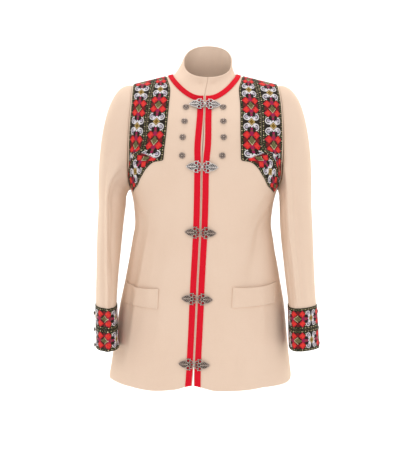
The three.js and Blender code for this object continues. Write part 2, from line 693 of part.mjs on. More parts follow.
// ---- Sewn-on trim ----
/** A place on the shoulders a distance out from the neck seam, measured along the cloth. */
function belowNeck(psi, distance) {
  const front = Math.abs(psi) <= HALF_PI;
  const power = 2 / NECK.roundness;
  const place = (grow) => {
    const x = (NECK.halfWidth + grow) * Math.abs(Math.sin(psi)) ** power;
    const y = ((front ? NECK.front : NECK.back) + grow) * Math.abs(Math.cos(psi)) ** power;
    const { theta, climb } = planSpot(psi, x, y);
    return { point: bodyPoint(theta, climb), normal: bodyNormal(theta, climb) };
  };
  const seam = place(0).point;
  const grow = solve((value) => place(value).point.distanceTo(seam), distance, 0, distance);
  return place(grow);
}

/** Width of the neck braid at an angle round the neck: it narrows where it is eased over the shoulder. */
function neckBraidWidth(psi) {
  return lerp(BRAID.width, BRAID.atShoulder, smoothstep(Math.abs(psi), 0.6, HALF_PI));
}

/** How far from the middle the neck braid's lower edge lies at a height. */
function braidEdgeX(z) {
  const edge = (psi) => belowNeck(psi, neckBraidWidth(psi) + 1).point;
  if (z < edge(0).z) return 0;
  return edge(solve((psi) => edge(psi).z, z, 0, HALF_PI)).x;
}

/** The red braid round the neck seam. */
function neckBraid() {
  const columns = 38;
  const ends = degToRad(1.3);
  const spots = Array.from({ length: columns + 1 }, (_, i) => {
    const psi = lerp(ends, 2 * Math.PI - ends, i / columns);
    const around = psi > Math.PI ? psi - 2 * Math.PI : psi;
    const width = neckBraidWidth(around);
    return [0.6, width / 2, width].map((distance) => belowNeck(around, distance));
  });
  return bandOn(spots, BRAID.thickness);
}

/** The red braid down one front edge, from the neck braid to the hem. */
function frontBraid(side) {
  const rows = 30;
  const top = belowNeck(0, BRAID.width + 1.5).point.z;
  const spots = Array.from({ length: rows + 1 }, (_, i) => {
    return [0, 0.5, 1].map((across) => {
      const away = BRAID.frontWidth * across;
      const foot = openingHalf(HEM_Z) + braidInset(HEM_Z) + away;
      const low = hemHeight(side * angleAt(foot, HEM_Z)) + 0.5;
      const z = lerp(low, top, i / rows);
      return frontSpot(side * (openingHalf(z) + braidInset(z) + away), z);
    });
  });
  return bandOn(spots, BRAID.thickness);
}

/** One of the two woven ribbons on a shoulder, between two named edges of the yoke rows. */
function yokeRibbon(side, nearEdge, farEdge) {
  const edge = (name) => curves(YOKE_ROWS.map((row, i) => {
    const [x, z] = name === "outer" ? [Infinity, row.outerZ] : row[name];
    const free = Math.max(Math.min(x, armholeX(side, z) - YOKE_INSET), braidEdgeX(z));
    const theta = angleAt(free, z);
    return { i, theta, climb: z >= ridgeHeight(free) ? ROLL_LENGTH : climbAt(theta, z) };
  }), "i");
  const near = edge(nearEdge);
  const far = edge(farEdge);
  const steps = (YOKE_ROWS.length - 1) * 2;
  const spots = Array.from({ length: steps + 1 }, (_, k) => {
    return [0.012, 0.34, 0.67, 0.988].map((across) => {
      const theta = side * lerp(near.theta(k / 2), far.theta(k / 2), across);
      const climb = lerp(near.climb(k / 2), far.climb(k / 2), across);
      return { point: bodyPoint(theta, climb), normal: bodyNormal(theta, climb) };
    });
  });
  return bandOn(spots, RIBBON.thickness);
}

/** A pocket's welt: a flat strip that stands a little off the body along its top edge. */
function pocketWelt(side) {
  const pocket = POCKETS[side.name];
  const spots = Array.from({ length: 11 }, (_, i) => {
    const x = lerp(pocket.innerX, pocket.outerX, i / 10);
    const top = lerp(pocket.topInner, pocket.topOuter, i / 10);
    return [0, 0.5, 1].map((up) => {
      const spot = frontSpot(side.sign * x, top - pocket.height * (1 - up));
      spot.point.addScaledVector(spot.normal, POCKET_GAPE * up * up * Math.sin((Math.PI * i) / 10));
      return spot;
    });
  });
  return bandOn(spots, CLOTH);
}

// ---- Metal trim ----
/** Outline of one clasp half, from the centre line out; lugs differ so that the halves interlock. */
function claspShape(hooked) {
  const { length } = CLASP;
  const half = CLASP.height / 2;
  const shape = new THREE.Shape();
  const lug = hooked ? 2.4 : 5.6;
  shape.moveTo(2, -lug);
  shape.bezierCurveTo(3.5, -half * 1.12, 14, -half * 1.15, 15.5, -half * 0.6);
  shape.bezierCurveTo(20, -half * 0.62, length - 5, -half * 0.45, length, 0);
  shape.bezierCurveTo(length - 5, half * 0.45, 20, half * 0.62, 15.5, half * 0.6);
  shape.bezierCurveTo(14, half * 1.15, 3.5, half * 1.12, 2, lug);
  if (hooked) {
    shape.lineTo(-2.2, lug);
    shape.lineTo(-2.2, -lug);
  } else {
    shape.lineTo(-1.5, lug);
    shape.lineTo(-1.5, 2.75);
    shape.lineTo(2.6, 2.75);
    shape.lineTo(2.6, -2.75);
    shape.lineTo(-1.5, -2.75);
    shape.lineTo(-1.5, -lug);
  }
  for (const centre of [[8.5, half * 0.56], [8.5, -half * 0.56], [17, 0]]) {
    const hole = new THREE.Path();
    hole.absellipse(centre[0], centre[1], 2.6, 2.2, 0, Math.PI * 2, true, 0);
    shape.holes.push(hole);
  }
  return shape;
}

/** Turns a flat shape's frame to lie on the front at centre-front distance x and height z. */
function placeOnFront(geometry, side, x, z, lift) {
  const spot = frontSpot(side * x, z);
  const above = frontSpot(side * x, z + 4).point.sub(frontSpot(side * x, z - 4).point);
  const up = unit(above.addScaledVector(spot.normal, -above.dot(spot.normal)));
  const across = unit(up.clone().cross(spot.normal));
  const origin = spot.point.addScaledVector(spot.normal, lift);
  const matrix = new THREE.Matrix4().makeBasis(across, up, spot.normal).setPosition(origin);
  return geometry.applyMatrix4(matrix);
}

/** One clasp half lying over the braid. */
function claspHalf(side, z, hooked) {
  const geometry = new THREE.ExtrudeGeometry(claspShape(hooked), {
    depth: CLASP.thickness, bevelEnabled: false, curveSegments: 4,
  });
  if (side < 0) geometry.rotateZ(Math.PI);
  const lift = z === CLASP_ZS[0] ? TOP_CLASP_LIFT : CLASP.lift;
  return placeOnFront(geometry, 1, CLASP.middleX, z, lift);
}

/** A domed button with a short shank; its axis is +Z. */
function buttonGeometry({ radius, height }) {
  const profile = [
    [0, 0], [radius * 0.4, 0], [radius * 0.4, 0.9], [radius * 0.95, 1],
    [radius, 1.9], [radius * 0.72, height * 0.84], [0, height],
  ];
  const geometry = new THREE.LatheGeometry(profile.map(([r, z]) => new THREE.Vector2(r, z)), 10);
  return geometry.rotateX(HALF_PI);
}

/** One button of a cuff, standing on the outer edge of the sleeve near its back seam. */
function cuffButton(side, z) {
  const table = SLEEVE_RINGS[side.name];
  const wrist = table[table.length - 1].z;
  const way = (z - wrist) / (table[0].z - wrist);
  const angle = side.sign < 0 ? -0.1 : -0.5;
  const normal = unit(sleeveStep(side, angle, way).negate());
  const origin = sleevePoint(side, angle, way).addScaledVector(normal, LIFT + RIBBON.thickness + SEAM_GAP);
  const turn = new THREE.Quaternion().setFromUnitVectors(new THREE.Vector3(0, 0, 1), normal);
  return buttonGeometry(CUFF_BUTTON).applyQuaternion(turn).translate(origin.x, origin.y, origin.z);
}

// ---- Assembly ----
const group = new THREE.Group();

/** Adds a named mesh with its own material. */
function add(name, geometry, look) {
  const mesh = new THREE.Mesh(geometry, new THREE.MeshStandardMaterial(look));
  mesh.name = name;
  group.add(mesh);
}

add("back", backPanel(), WOOL);
add("stand_collar", standCollar(), WOOL);
add("neck_braid", neckBraid(), RED_BRAID);
for (const side of SIDES) {
  add(`front_${side.name}`, frontPanel(side.sign), WOOL);
  add(`sleeve_upper_${side.name}`, sleevePiece(side, -SEAM_STATION, SEAM_STATION), WOOL);
  add(`sleeve_under_${side.name}`, sleevePiece(side, SEAM_STATION, 2 * UPPER_ROWS - SEAM_STATION), WOOL);
  add(`pocket_welt_${side.name}`, pocketWelt(side), WOOL);
  add(`front_braid_${side.name}`, frontBraid(side.sign), RED_BRAID);
  add(`shoulder_ribbon_inner_${side.name}`, yokeRibbon(side.sign, "inner", "joint"), WOVEN_RIBBON);
  add(`shoulder_ribbon_outer_${side.name}`, yokeRibbon(side.sign, "joint", "outer"), WOVEN_RIBBON);
  add(`cuff_ribbon_lower_${side.name}`, cuffRibbon(side, 0, RIBBON.cuffHeight), WOVEN_RIBBON);
  add(
    `cuff_ribbon_upper_${side.name}`,
    cuffRibbon(side, RIBBON.cuffHeight + SEAM_GAP, 2 * RIBBON.cuffHeight),
    WOVEN_RIBBON,
  );
  FRONT_BUTTONS.forEach((place, i) => {
    const button = placeOnFront(buttonGeometry(FRONT_BUTTON), side.sign, place.x, place.z, SEAM_GAP);
    add(`front_button_${side.name}_${i + 1}`, button, PEWTER);
  });
  CUFF_BUTTON_ZS.forEach((z, i) => add(`cuff_button_${side.name}_${i + 1}`, cuffButton(side, z), PEWTER));
}
CLASP_ZS.forEach((z, i) => {
  add(`clasp_hook_${i + 1}`, claspHalf(-1, z, true), PEWTER);
  add(`clasp_eye_${i + 1}`, claspHalf(1, z, false), PEWTER);
});

export default group;
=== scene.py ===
"""Looks of the wool jacket: cloth shells, braids, woven ribbons, clasps, buttons and stitches.

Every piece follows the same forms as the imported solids. The forms are worked out in
millimetres and become metres when a mesh is made. The front faces -Y and the wearer's
left is at +X.
"""
import logging
import math
from collections.abc import Callable, Sequence
from dataclasses import dataclass, field
from enum import Enum

import bmesh
import bpy
import numpy as np
from mathutils import Euler, Matrix, Vector


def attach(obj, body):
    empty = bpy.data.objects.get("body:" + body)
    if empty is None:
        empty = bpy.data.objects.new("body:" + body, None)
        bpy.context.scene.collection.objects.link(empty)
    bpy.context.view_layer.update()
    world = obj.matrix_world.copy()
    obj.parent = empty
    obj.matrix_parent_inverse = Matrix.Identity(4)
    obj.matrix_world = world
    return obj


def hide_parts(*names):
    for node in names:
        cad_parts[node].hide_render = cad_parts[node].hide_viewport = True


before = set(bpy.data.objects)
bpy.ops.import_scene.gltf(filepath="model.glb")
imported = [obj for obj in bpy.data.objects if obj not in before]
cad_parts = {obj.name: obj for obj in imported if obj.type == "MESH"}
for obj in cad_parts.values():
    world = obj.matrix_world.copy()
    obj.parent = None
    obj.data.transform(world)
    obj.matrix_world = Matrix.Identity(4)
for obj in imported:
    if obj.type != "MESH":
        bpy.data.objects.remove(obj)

LOG = logging.getLogger("jacket")
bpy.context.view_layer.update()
Array = np.ndarray
Colour = tuple[float, float, float]
Place = tuple[float, float, float]

MM = 0.001
HALF_PI = math.pi / 2
TURN = 2 * math.pi

# Sizes are in millimetres and angles in radians unless a comment says otherwise.
CLOTH = 2.2
BRAID_THICK = 1.6
RIBBON_THICK = 1.2
LIFT = 0.5  # of the trim above the cloth
BRAID_WIDTH = 14.2
BRAID_AT_SHOULDER = 11.5
FRONT_BRAID = 13.7
STRAND = 2.6
RIBBON_WIDTH = 46.0
RIBBON_REPEAT = 75.0
YOKE_REPEAT = 82.0  # the same on the shoulders, where the ribbon is eased
YOKE_STARTS = (113.5, 111.5)  # of the first flower from the inner and the outer ribbon's top
YOKE_SLIP = 11.0  # of the pattern at the mitre
CUFF_RIBBON = 46.6
CUFF_GAP = 0.3  # between the two ribbons of a cuff
CUFF_FLOWER_X = {-1: -221.0, 1: 205.0}
TRIM_ROUNDING = 0.35

# Places inside the jacket that the faces of its pieces look away from.
BODY_MIDDLE = np.array([0.0, 0.0, -300.0])
COLLAR_MIDDLE = np.array([5.0, 0.0, 0.0])
TRIM_MIDDLE = np.array([0.0, 0.0, -120.0])
POCKET_MIDDLE = np.array([0.0, 0.0, -480.0])

NECK_HALF_WIDTH = 70.0
NECK_FRONT = 72.0
NECK_BACK = 60.0
NECK_ROUNDNESS = 2.3
NECK_FRONT_Z = -44.0
SHOULDER_TIP_X = 164.0
SHOULDER_DROP = 23.0
UNDERARM_Z = -258.0
HEM_Z = -682.0
HEM_DEPTH = 28.0
BODY_ROUNDNESS = 2.3
ROLL_LENGTH = 220.0
ROLL_START_Z = -180.0
FRONT_ROLL = (1.6, 2.2)  # roundness of the turn over the shoulder, at the neck and at the tip
BACK_ROLL = (3.0, 2.4)
COLLAR_TOP = {"half_width": 55.0, "depth": 51.0, "z": 30.5, "slope": 0.7, "lean": 8.0}
COLLAR_HOLLOW = 3.0

WRIST_Z = -603.0
TUBE_TOP_Z = -292.0
SLEEVE_ROUNDNESS = 1.85
CAP_ROUNDNESS = 2.45
CAP_WARP = math.pi / 6
SEAM_ALPHA = 8 * math.pi / 12

BODY_RINGS = (
    # z, half width, front, back, yaw in degrees, shift
    (20, 194, 116, 112, 0, 0),
    (-60, 194, 118, 114, 0, 0),
    (-102, 194, 126, 119, -0.8, 0),
    (-145, 193, 130, 121, -1.7, 0),
    (-180, 190, 132, 121, -2.4, 0),
    (-224, 181, 134, 119, -2.7, -0.5),
    (-258, 165, 132, 115, -2.7, -1),
    (-294, 157, 128, 110, -2.7, -2),
    (-332, 154, 125, 107, -2.8, -3),
    (-371, 160, 126, 110, -3.4, -3.5),
    (-418, 168, 130, 116, -4.2, -4),
    (-461, 176, 134, 122, -4.8, -4.5),
    (-522, 188, 139, 129, -5.3, -5.5),
    (-619, 200, 144, 136, -6, -8),
    (-690, 210, 149, 141, -6.2, -10),
)
ARMHOLE = (
    # z, right, left
    (-23, 162, 165.5), (-60, 163.5, 171), (-102, 165.5, 174),
    (-145, 166.5, 176), (-224, 166, 174), (-258, 165, 165),
)
FRONT_OPENING = (
    # z, half of the opening
    (-40, 0.5), (-80, 0.4), (-150, 0.9), (-198, 0.4), (-630, 0.4), (-700, 2.6),
)
BRAID_INSETS = (
    # z, distance of the front braid from the front edge
    (-40, 1.7), (-80, 1.7), (-150, 3.3), (-198, 1.7), (-700, 1.7),
)
HEM_CURVE = (
    # angle in degrees, rise
    (-180, -6), (-90, -2), (-42, -5), (-23, -9), (-8, -3), (0, 6.5), (5, 1), (11, -4),
    (30, -5), (44, -1.5), (90, -4), (180, -6),
)
SLEEVE_RINGS = {
    # z, inner, outer, crease, heel, middle, half
    -1: (
        (-292, 178, 238, 214, 216, -4, 80), (-350, 184, 241.5, 214, 222, -14, 73),
        (-420, 189, 243, 213, 228, -32, 66), (-480, 194, 243.5, 212, 230, -50, 60),
        (-507, 196, 243, 212, 230, -58, 57), (-603, 192, 241, 212, 230, -76, 55),
    ),
    1: (
        (-292, 170, 243, 182, 212, -4, 77), (-350, 171.5, 245, 186, 218, -14, 70),
        (-420, 177, 246.5, 194, 226, -32, 64), (-480, 184, 248, 200, 232, -50, 58),
        (-507, 187, 250, 203, 234, -58, 55), (-603, 190, 255, 207, 238, -76, 53),
    ),
}
FOLDS = (
    # top z, bottom z, angle at top, angle at bottom, width in degrees, depth
    (-250, -470, -60, -62, 6, 3),
    (-270, -470, 78, 30, 11, -4),
    (-300, -730, 13, 15, 6, 2.5),
    (-520, -760, -38, -42, 12, 3.5),
    (-520, -760, 58, 62, 13, 4),
    (-250, -420, 150, 124, 11, -4),
    (-260, -430, -148, -126, 11, -4),
    (-430, -760, 166, 160, 11, 5),
    (-450, -760, -162, -154, 12, 4.5),
    (-480, -760, 126, 122, 12, 4),
)
CREASES = (
    # top z, bottom z, angle at top, angle at bottom, width in degrees, depth
    (-235, -330, -78, -52, 5, -2.4),
    (-255, -350, 62, 40, 5, -2.6),
    (-262, -345, 84, 52, 4, -1.8),
    (-290, -660, -46, -46, 3.2, 2.6),
    (-300, -640, -56, -53, 4.5, -2.6),
    (-280, -520, 6, 9, 3.5, 1.8),
    (-300, -560, 14, 17, 4, -1.6),
    (-250, -480, 66, 34, 6, -3.4),
    (-330, -560, -30, -28, 5, -1.2),
    (-480, -690, -20, -24, 5, 1.6),
    (-560, -760, -66, -74, 7, 3.0),
    (-560, -760, 32, 30, 6, -2.2),
    (-430, -640, 50, 44, 4, 2.0),
    (-60, -240, -16, -20, 5, -1.2),
    (-60, -230, 20, 24, 5, -1.2),
    (-280, -400, -112, -92, 6, -2.2),
    (-300, -420, 108, 90, 6, -2.2),
    (-230, -330, 160, 128, 6, -2.2),
    (-230, -330, -158, -126, 6, -2.2),
    (-330, -470, 176, 172, 8, -2.2),
    (-520, -760, -112, -118, 8, 3.0),
    (-150, -250, 118, 108, 5, -1.4),
    (-150, -250, -118, -106, 5, -1.4),
)
SLEEVE_CREASES = (
    # angle, way, angle width, way width, slope, depth
    (1.15, 1.25, 0.30, 0.40, 0.5, -2.2), (0.55, 1.45, 0.22, 0.45, 0.3, 1.8),
    (2.30, 1.10, 0.35, 0.30, -0.8, -2.6), (2.05, 0.78, 0.30, 0.18, -1.6, -2.4),
    (1.75, 0.62, 0.35, 0.12, -2.2, 1.8), (-0.75, 0.72, 0.40, 0.16, 1.5, -2.2),
    (-1.35, 0.52, 0.35, 0.14, 1.8, 1.8), (0.60, 0.45, 0.22, 0.30, 0.2, -1.6),
    (-0.45, 1.35, 0.30, 0.45, -0.4, -2.0), (3.30, 0.60, 0.40, 0.30, 0.8, -2.2),
)
PRESSED_FRONT = (
    # angle, width, depth of the sleeve's pressed front edge and the hollows beside it
    (HALF_PI, 0.09, 4.8), (1.16, 0.19, -4.0), (2.02, 0.20, -3.0),
)

YOKE_ROWS = (
    # inner x, inner z, joint x, joint z, outer z
    (87, -4, 109, -9.4, -21.5), (80, -15, 112, -20, -32), (74.5, -36, 117, -40, -52),
    (77, -68, 121.5, -70, -80), (78.5, -100, 124, -100, -110), (80, -132, 125.5, -132, -138),
    (82, -160, 128, -154, -164), (84, -184, 140, -167, -180), (104, -189, 151, -180, -196),
    (119, -201, 158, -193, -212), (131.5, -220, 163, -209, -226), (142, -241, 165, -226, -239),
    (156, -259, 165, -246, -252),
)
MITRE_ROW = 7
YOKE_INSET = 4.0
POCKETS = {
    # inner x, outer x, z at the inner and the outer end of the top edge
    -1: (85.5, 168, -466, -461),
    1: (76, 168, -460, -458),
}
WELT_LENGTH = 83.0
WELT_HEIGHT = 45.0
POCKET_GAPE = 5.0

CLASP_ZS = (-66, -198, -341, -485, -628)
CLASP_MIDDLE_X = 0.6
CLASP_LIFT = 2.9
TOP_CLASP_LIFT = 3.7  # over the curve of the chest
SHINY_CLASPS = 2  # the upper ones get the brighter finish, the lower ones the darker
CLASP_BEND = 0.007  # drop 1 mm past the scrolls, growing with the square of the distance
# Dark plates under the scrolls: patina and painted shade between the wires.
# x, y, radius, radius of the hole
CLASP_DISCS = (
    (12.6, 8.2, 5.0, 2.3), (6.8, 5.2, 4.2, 1.8), (10.9, 2.0, 3.0, 0.0), (14.6, 2.6, 3.0, 0.0),
)
CLASP_PITS = ((10.9, 2.2, 1.3, 0.0), (15.4, 3.2, 1.1, 0.0))
# x, y, radius
CLASP_BEADS = (
    (15.0, 0.0, 1.7), (8.6, 0.0, 1.4), (8.6, 12.0, 1.3), (17.2, 9.6, 1.2), (34.0, 0.0, 1.2),
)
# x, y, radius, start angle, turns, thickest and thinnest wire
CLASP_SCROLLS = ((12.6, 8.2, 5.0, -2.2, 1.0, 0.95, 0.6), (6.8, 5.2, 4.0, 3.6, -1.0, 0.85, 0.55))
# root and reach
LEAF_VEINS = ((17.5, 6.6), (20.8, 5.6), (24.2, 4.0), (27.4, 2.4))
# x, y
LEAF_OUTLINE = (
    (15.0, 0.0), (16.4, 5.2), (19.0, 7.6), (23.0, 7.4), (27.5, 5.4), (31.5, 2.8), (34.0, 0.0),
)
LEAF_RIM = (
    (14.6, 3.4), (16.6, 5.8), (19.2, 7.8), (23.0, 7.5), (27.5, 5.5), (31.5, 2.9), (34.0, 0.3),
)

FRONT_BUTTONS = ((-71, 40.5), (-101, 42), (-135, 44), (-174, 43))  # z, x
FRONT_BUTTON = (6.8, 4.6)  # radius, height
CUFF_BUTTON_ZS = (-530, -566, -600)
CUFF_BUTTON = (5.0, 4.2)
# radius and height as shares of the button's own
BUTTON_PROFILE = (
    (0.0, 0.0), (0.38, 0.0), (0.38, 0.2), (0.9, 0.22), (0.98, 0.3), (1.0, 0.40), (0.96, 0.5),
    (0.88, 0.56), (0.8, 0.60), (0.72, 0.66), (0.62, 0.74), (0.54, 0.80), (0.46, 0.80),
    (0.38, 0.78), (0.3, 0.84), (0.22, 0.92), (0.14, 0.97), (0.07, 0.99), (0.0, 1.0),
)

CREAM_LIGHT = (0.765, 0.590, 0.468)
CREAM_DARK = (0.690, 0.500, 0.375)
# Red of the braid, lit on its strands and in painted shade in its grooves.
RED_LIT = (0.89, 0.012, 0.033)
RED_SHADED = (0.53, 0.004, 0.015)
THREAD_LIGHT = (0.86, 0.74, 0.60)
THREAD_DARK = (0.62, 0.50, 0.38)
# Darker pewter for the buttons and the lower clasps.
DULL_PEWTER_DARK = (0.046, 0.032, 0.026)
DULL_PEWTER_BRIGHT = (0.60, 0.49, 0.43)

FLOOR_TONE = (0.93, 0.93, 0.93)
SKY = (1.0, 0.99, 0.98, 1.0)
SKY_STRENGTH = 0.85
WARM = (1.0, 0.93, 0.82)
LAMPS = (
    # name, place and aim in metres, side of its square, watts, tint
    ("key", (-1.5, -2.5, 1.5), (0, 0, -0.3), 1.2, 15.5, (1.0, 0.98, 0.95)),
    ("fill", (1.9, -2.2, 0.6), (0, 0, -0.3), 2.0, 9, (1.0, 0.98, 0.96)),
    ("top", (0.0, 0.3, 1.5), (0, 0, 0), 1.0, 11, (1.0, 0.98, 0.95)),
    ("back_left", (-1.7, 1.1, 0.4), (0, 0, -0.3), 1.4, 10, WARM),
    ("back_right", (1.7, 1.1, 0.4), (0, 0, -0.3), 1.4, 11, WARM),
    ("behind", (0.0, 1.7, -0.3), (0, 0, -0.3), 2.0, 8, WARM),
    ("wall", (0.0, 1.9, 1.8), (0, 3.3, 0.0), 1.5, 40, (1.0, 1.0, 1.0)),
)


class Curve:
    """A smooth curve through points of a table that never swings past them."""

    def __init__(self, keys: Sequence[float], values: Sequence[float]) -> None:
        """Works out the slopes.

        Args:
            keys: Rising or falling places.
            values: The curve's values there.
        """
        order = np.argsort(keys)
        self.keys = np.asarray(keys, float)[order]
        self.values = np.asarray(values, float)[order]
        self.steps = np.diff(self.keys)
        rises = np.diff(self.values) / self.steps
        product = rises[:-1] * rises[1:]
        total = np.where(product > 0, rises[:-1] + rises[1:], 1.0)
        inner = np.where(product > 0, 2 * product / total, 0.0)
        self.slopes = np.concatenate([rises[:1], inner, rises[-1:]])

    def __call__(self, at: Array) -> Array:
        """Reads the curve, held at its two ends.

        Args:
            at: Places.

        Returns:
            The values there.
        """
        place = np.clip(np.asarray(at, float), self.keys[0], self.keys[-1])
        i = np.clip(np.searchsorted(self.keys, place, "right") - 1, 0, len(self.steps) - 1)
        t = (place - self.keys[i]) / self.steps[i]
        rise = 3 * t**2 - 2 * t**3
        leave = t**3 - 2 * t**2 + t
        arrive = t**3 - t**2
        level = self.values[i] * (1 - rise) + self.values[i + 1] * rise
        return level + self.steps[i] * (leave * self.slopes[i] + arrive * self.slopes[i + 1])


def columns(table: Sequence[Sequence[float]]) -> list[Curve]:
    """Returns one curve for each column of a table after its key column."""
    rows = list(zip(*table))
    return [Curve(rows[0], column) for column in rows[1:]]


def lerp(a: Array, b: Array, t: Array) -> Array:
    """Returns the value a share t of the way from a to b."""
    return a + (b - a) * t


def smoothstep(value: Array, low: float, high: float) -> Array:
    """Returns 0 below low, 1 above high and a smooth rise between."""
    t = np.clip((value - low) / (high - low), 0, 1)
    return t * t * (3 - 2 * t)


def solve(function: Callable[[Array], Array], target: Array, low: Array, high: Array) -> Array:
    """Finds where a rising function reaches a target.

    Args:
        function: Takes and returns an array.
        target: Values to reach.
        low: Lowest places.
        high: Highest places.

    Returns:
        The places.
    """
    low, high, target = np.broadcast_arrays(low, high, target)
    a, b = low.astype(float), high.astype(float)
    for _ in range(32):
        middle = (a + b) / 2
        less = function(middle) < target
        a = np.where(less, middle, a)
        b = np.where(less, b, middle)
    return (a + b) / 2


def squared(wave: Array, roundness: float) -> Array:
    """Returns the sine or cosine of a circle bent to that of a superellipse."""
    return np.sign(wave) * np.abs(wave) ** (2 / roundness)


def matched(first: Array, second: Array) -> Sequence[Array]:
    """Returns two sets of numbers spread to one shape."""
    return np.broadcast_arrays(np.asarray(first, float), np.asarray(second, float))


def bell(away: Array, width: float) -> Array:
    """Returns 1 at no distance, falling off over about the width."""
    return np.exp(-((away / width) ** 2))


def unit(vectors: Array) -> Array:
    """Returns vectors of length 1."""
    return vectors / np.maximum(np.linalg.norm(vectors, axis=-1, keepdims=True), 1e-9)


class BodyForm:
    """Outer surface of the jacket's body as worn, in millimetres."""

    def __init__(self) -> None:
        """Reads the tables."""
        self.half_width, self.front, self.back, self.yaw, self.shift = columns(BODY_RINGS)
        self.armhole_right, self.armhole_left = columns(ARMHOLE)
        (self.opening,) = columns(FRONT_OPENING)
        (self.hem_rise,) = columns(HEM_CURVE)

    @staticmethod
    def ridge(x: Array, front: Array | bool = True) -> Array:
        """Works out the height of the shoulder line, which is level at centre back.

        Args:
            x: Distance from the middle.
            front: Whether the place is on a front.

        Returns:
            The height.
        """
        eased = NECK_HALF_WIDTH / 2 + x**2 / (2 * NECK_HALF_WIDTH)
        x = np.where(np.logical_or(front, x >= NECK_HALF_WIDTH), x, eased)
        return -SHOULDER_DROP * (x - NECK_HALF_WIDTH) / (SHOULDER_TIP_X - NECK_HALF_WIDTH)

    @staticmethod
    def bend(front: Array, x: Array) -> Array:
        """Returns the exponent of the turn over the shoulder."""
        near, tip = (np.where(front, *pair) for pair in zip(FRONT_ROLL, BACK_ROLL))
        return 2 / lerp(near, tip, smoothstep(x, 0, 130))

    def folds(self, theta: Array, z: Array) -> Array:
        """Works out how far folds, creases and ripples push the cloth out.

        Args:
            theta: Angles round the body.
            z: Heights.

        Returns:
            Distances in millimetres.
        """
        degrees = np.degrees(theta)
        total = np.zeros(np.broadcast(theta, z).shape)
        for top, bottom, start, end, width, depth in FOLDS + CREASES:
            t = (z - top) / (bottom - top)
            away = (degrees - lerp(start, end, t) + 180) % 360 - 180
            window = np.sin(math.pi * np.clip(t, 0, 1))
            total = total + depth * window * bell(away, width)
        loose = smoothstep(-z, 240, 520)
        ripple = np.sin(5 * theta + z / 67) * np.sin(2 * theta - z / 113 + 1)
        fine = np.sin(11 * theta - z / 41 + 2) * np.sin(3 * theta + z / 83)
        return total + (0.25 + 0.75 * loose) * (0.55 * ripple + 0.3 * fine)

    def point(self, theta: Array, climb: Array) -> Array:
        """Places points of the surface.

        Args:
            theta: Angles from centre front, positive to the wearer's left.
            climb: Heights above the start of the shoulder turn, or lengths along that turn.

        Returns:
            Points, one for each pair.
        """
        theta, climb = matched(theta, climb)
        side = np.where(theta < 0, -1.0, 1.0)
        front = np.abs(theta) <= HALF_PI + 1e-9
        phi = np.clip(np.where(front, np.abs(theta), math.pi - np.abs(theta)), 0, HALF_PI)
        power = 2 / BODY_ROUNDNESS
        across = np.sin(phi) ** power
        turn = np.clip(climb / ROLL_LENGTH, 0, 1) * HALF_PI
        z = ROLL_START_Z + np.minimum(climb, 0)
        fade = np.ones_like(z)
        for _ in range(6):
            x = self.half_width(z) * across
            bend = self.bend(front, x)
            high = ROLL_START_Z + (self.ridge(x, front) - ROLL_START_Z) * np.sin(turn) ** bend
            z = np.where(climb > 0, high, z)
            fade = np.where(climb > 0, np.maximum(np.cos(turn), 0) ** bend, 1.0)
        depth = np.where(front, -self.front(z), self.back(z))
        along = np.maximum(np.cos(phi), 0) ** power
        flat = np.stack([side * self.half_width(z) * across, depth * along * fade], -1)
        flat = flat + unit(flat) * self.folds(theta, z)[..., None]
        yaw = np.radians(self.yaw(z))
        x = flat[..., 0] * np.cos(yaw) - flat[..., 1] * np.sin(yaw) + self.shift(z)
        y = flat[..., 0] * np.sin(yaw) + flat[..., 1] * np.cos(yaw)
        return np.stack([x, y, z], -1)

    def normal(self, theta: Array, climb: Array) -> Array:
        """Works out outward normals of the surface.

        Args:
            theta: Angles round the body.
            climb: Climbs, as for point.

        Returns:
            Unit vectors.
        """
        theta, climb = matched(theta, climb)
        quarter = np.round(theta / HALF_PI) * HALF_PI
        turn = np.where(theta >= quarter, 0.02, -0.02)
        turn = np.where(np.abs(theta) > math.pi - 0.02, -0.02 * np.sign(theta), turn)
        rise = np.where(climb > ROLL_LENGTH / 2, -2.0, 2.0)
        here = self.point(theta, climb)
        along = (self.point(theta + turn, climb) - here) * np.sign(turn)[..., None]
        up = (self.point(theta, climb + rise) - here) * np.sign(rise)[..., None]
        return unit(np.cross(along, up))

    def angle_at(self, x: Array, z: Array) -> Array:
        """Returns the angle that reaches a distance from the middle at a height."""
        return np.arcsin(np.clip(x / self.half_width(z), 0, 1) ** (BODY_ROUNDNESS / 2))

    def climb_at(self, theta: Array, z: Array) -> Array:
        """Finds the way up the surface that reaches a height.

        Args:
            theta: Angles round the body.
            z: Heights.

        Returns:
            Climbs.
        """
        theta, z = matched(theta, z)
        rolled = solve(lambda climb: self.point(theta, climb)[..., 2], z, 0.0, ROLL_LENGTH)
        return np.where(z <= ROLL_START_Z, z - ROLL_START_Z, rolled)

    def front_spot(self, x: Array, z: Array, lift: Array = 0.0) -> Array:
        """Places points on the front.

        Args:
            x: Distances from the middle, positive to the wearer's left.
            z: Heights.
            lift: Distance above the cloth.

        Returns:
            The points.
        """
        x, z = matched(x, z)
        theta = np.sign(x) * self.angle_at(np.abs(x), z)
        climb = self.climb_at(theta, z)
        lift = np.asarray(lift, float)[..., None]
        return self.point(theta, climb) + self.normal(theta, climb) * lift

    def hem(self, theta: Array) -> Array:
        """Returns the height of the lowest edge at an angle."""
        return HEM_Z + self.hem_rise(np.degrees(theta))

    def armhole_x(self, side: int, z: Array) -> Array:
        """Returns the armhole edge's distance from the middle."""
        return self.armhole_right(z) if side < 0 else self.armhole_left(z)

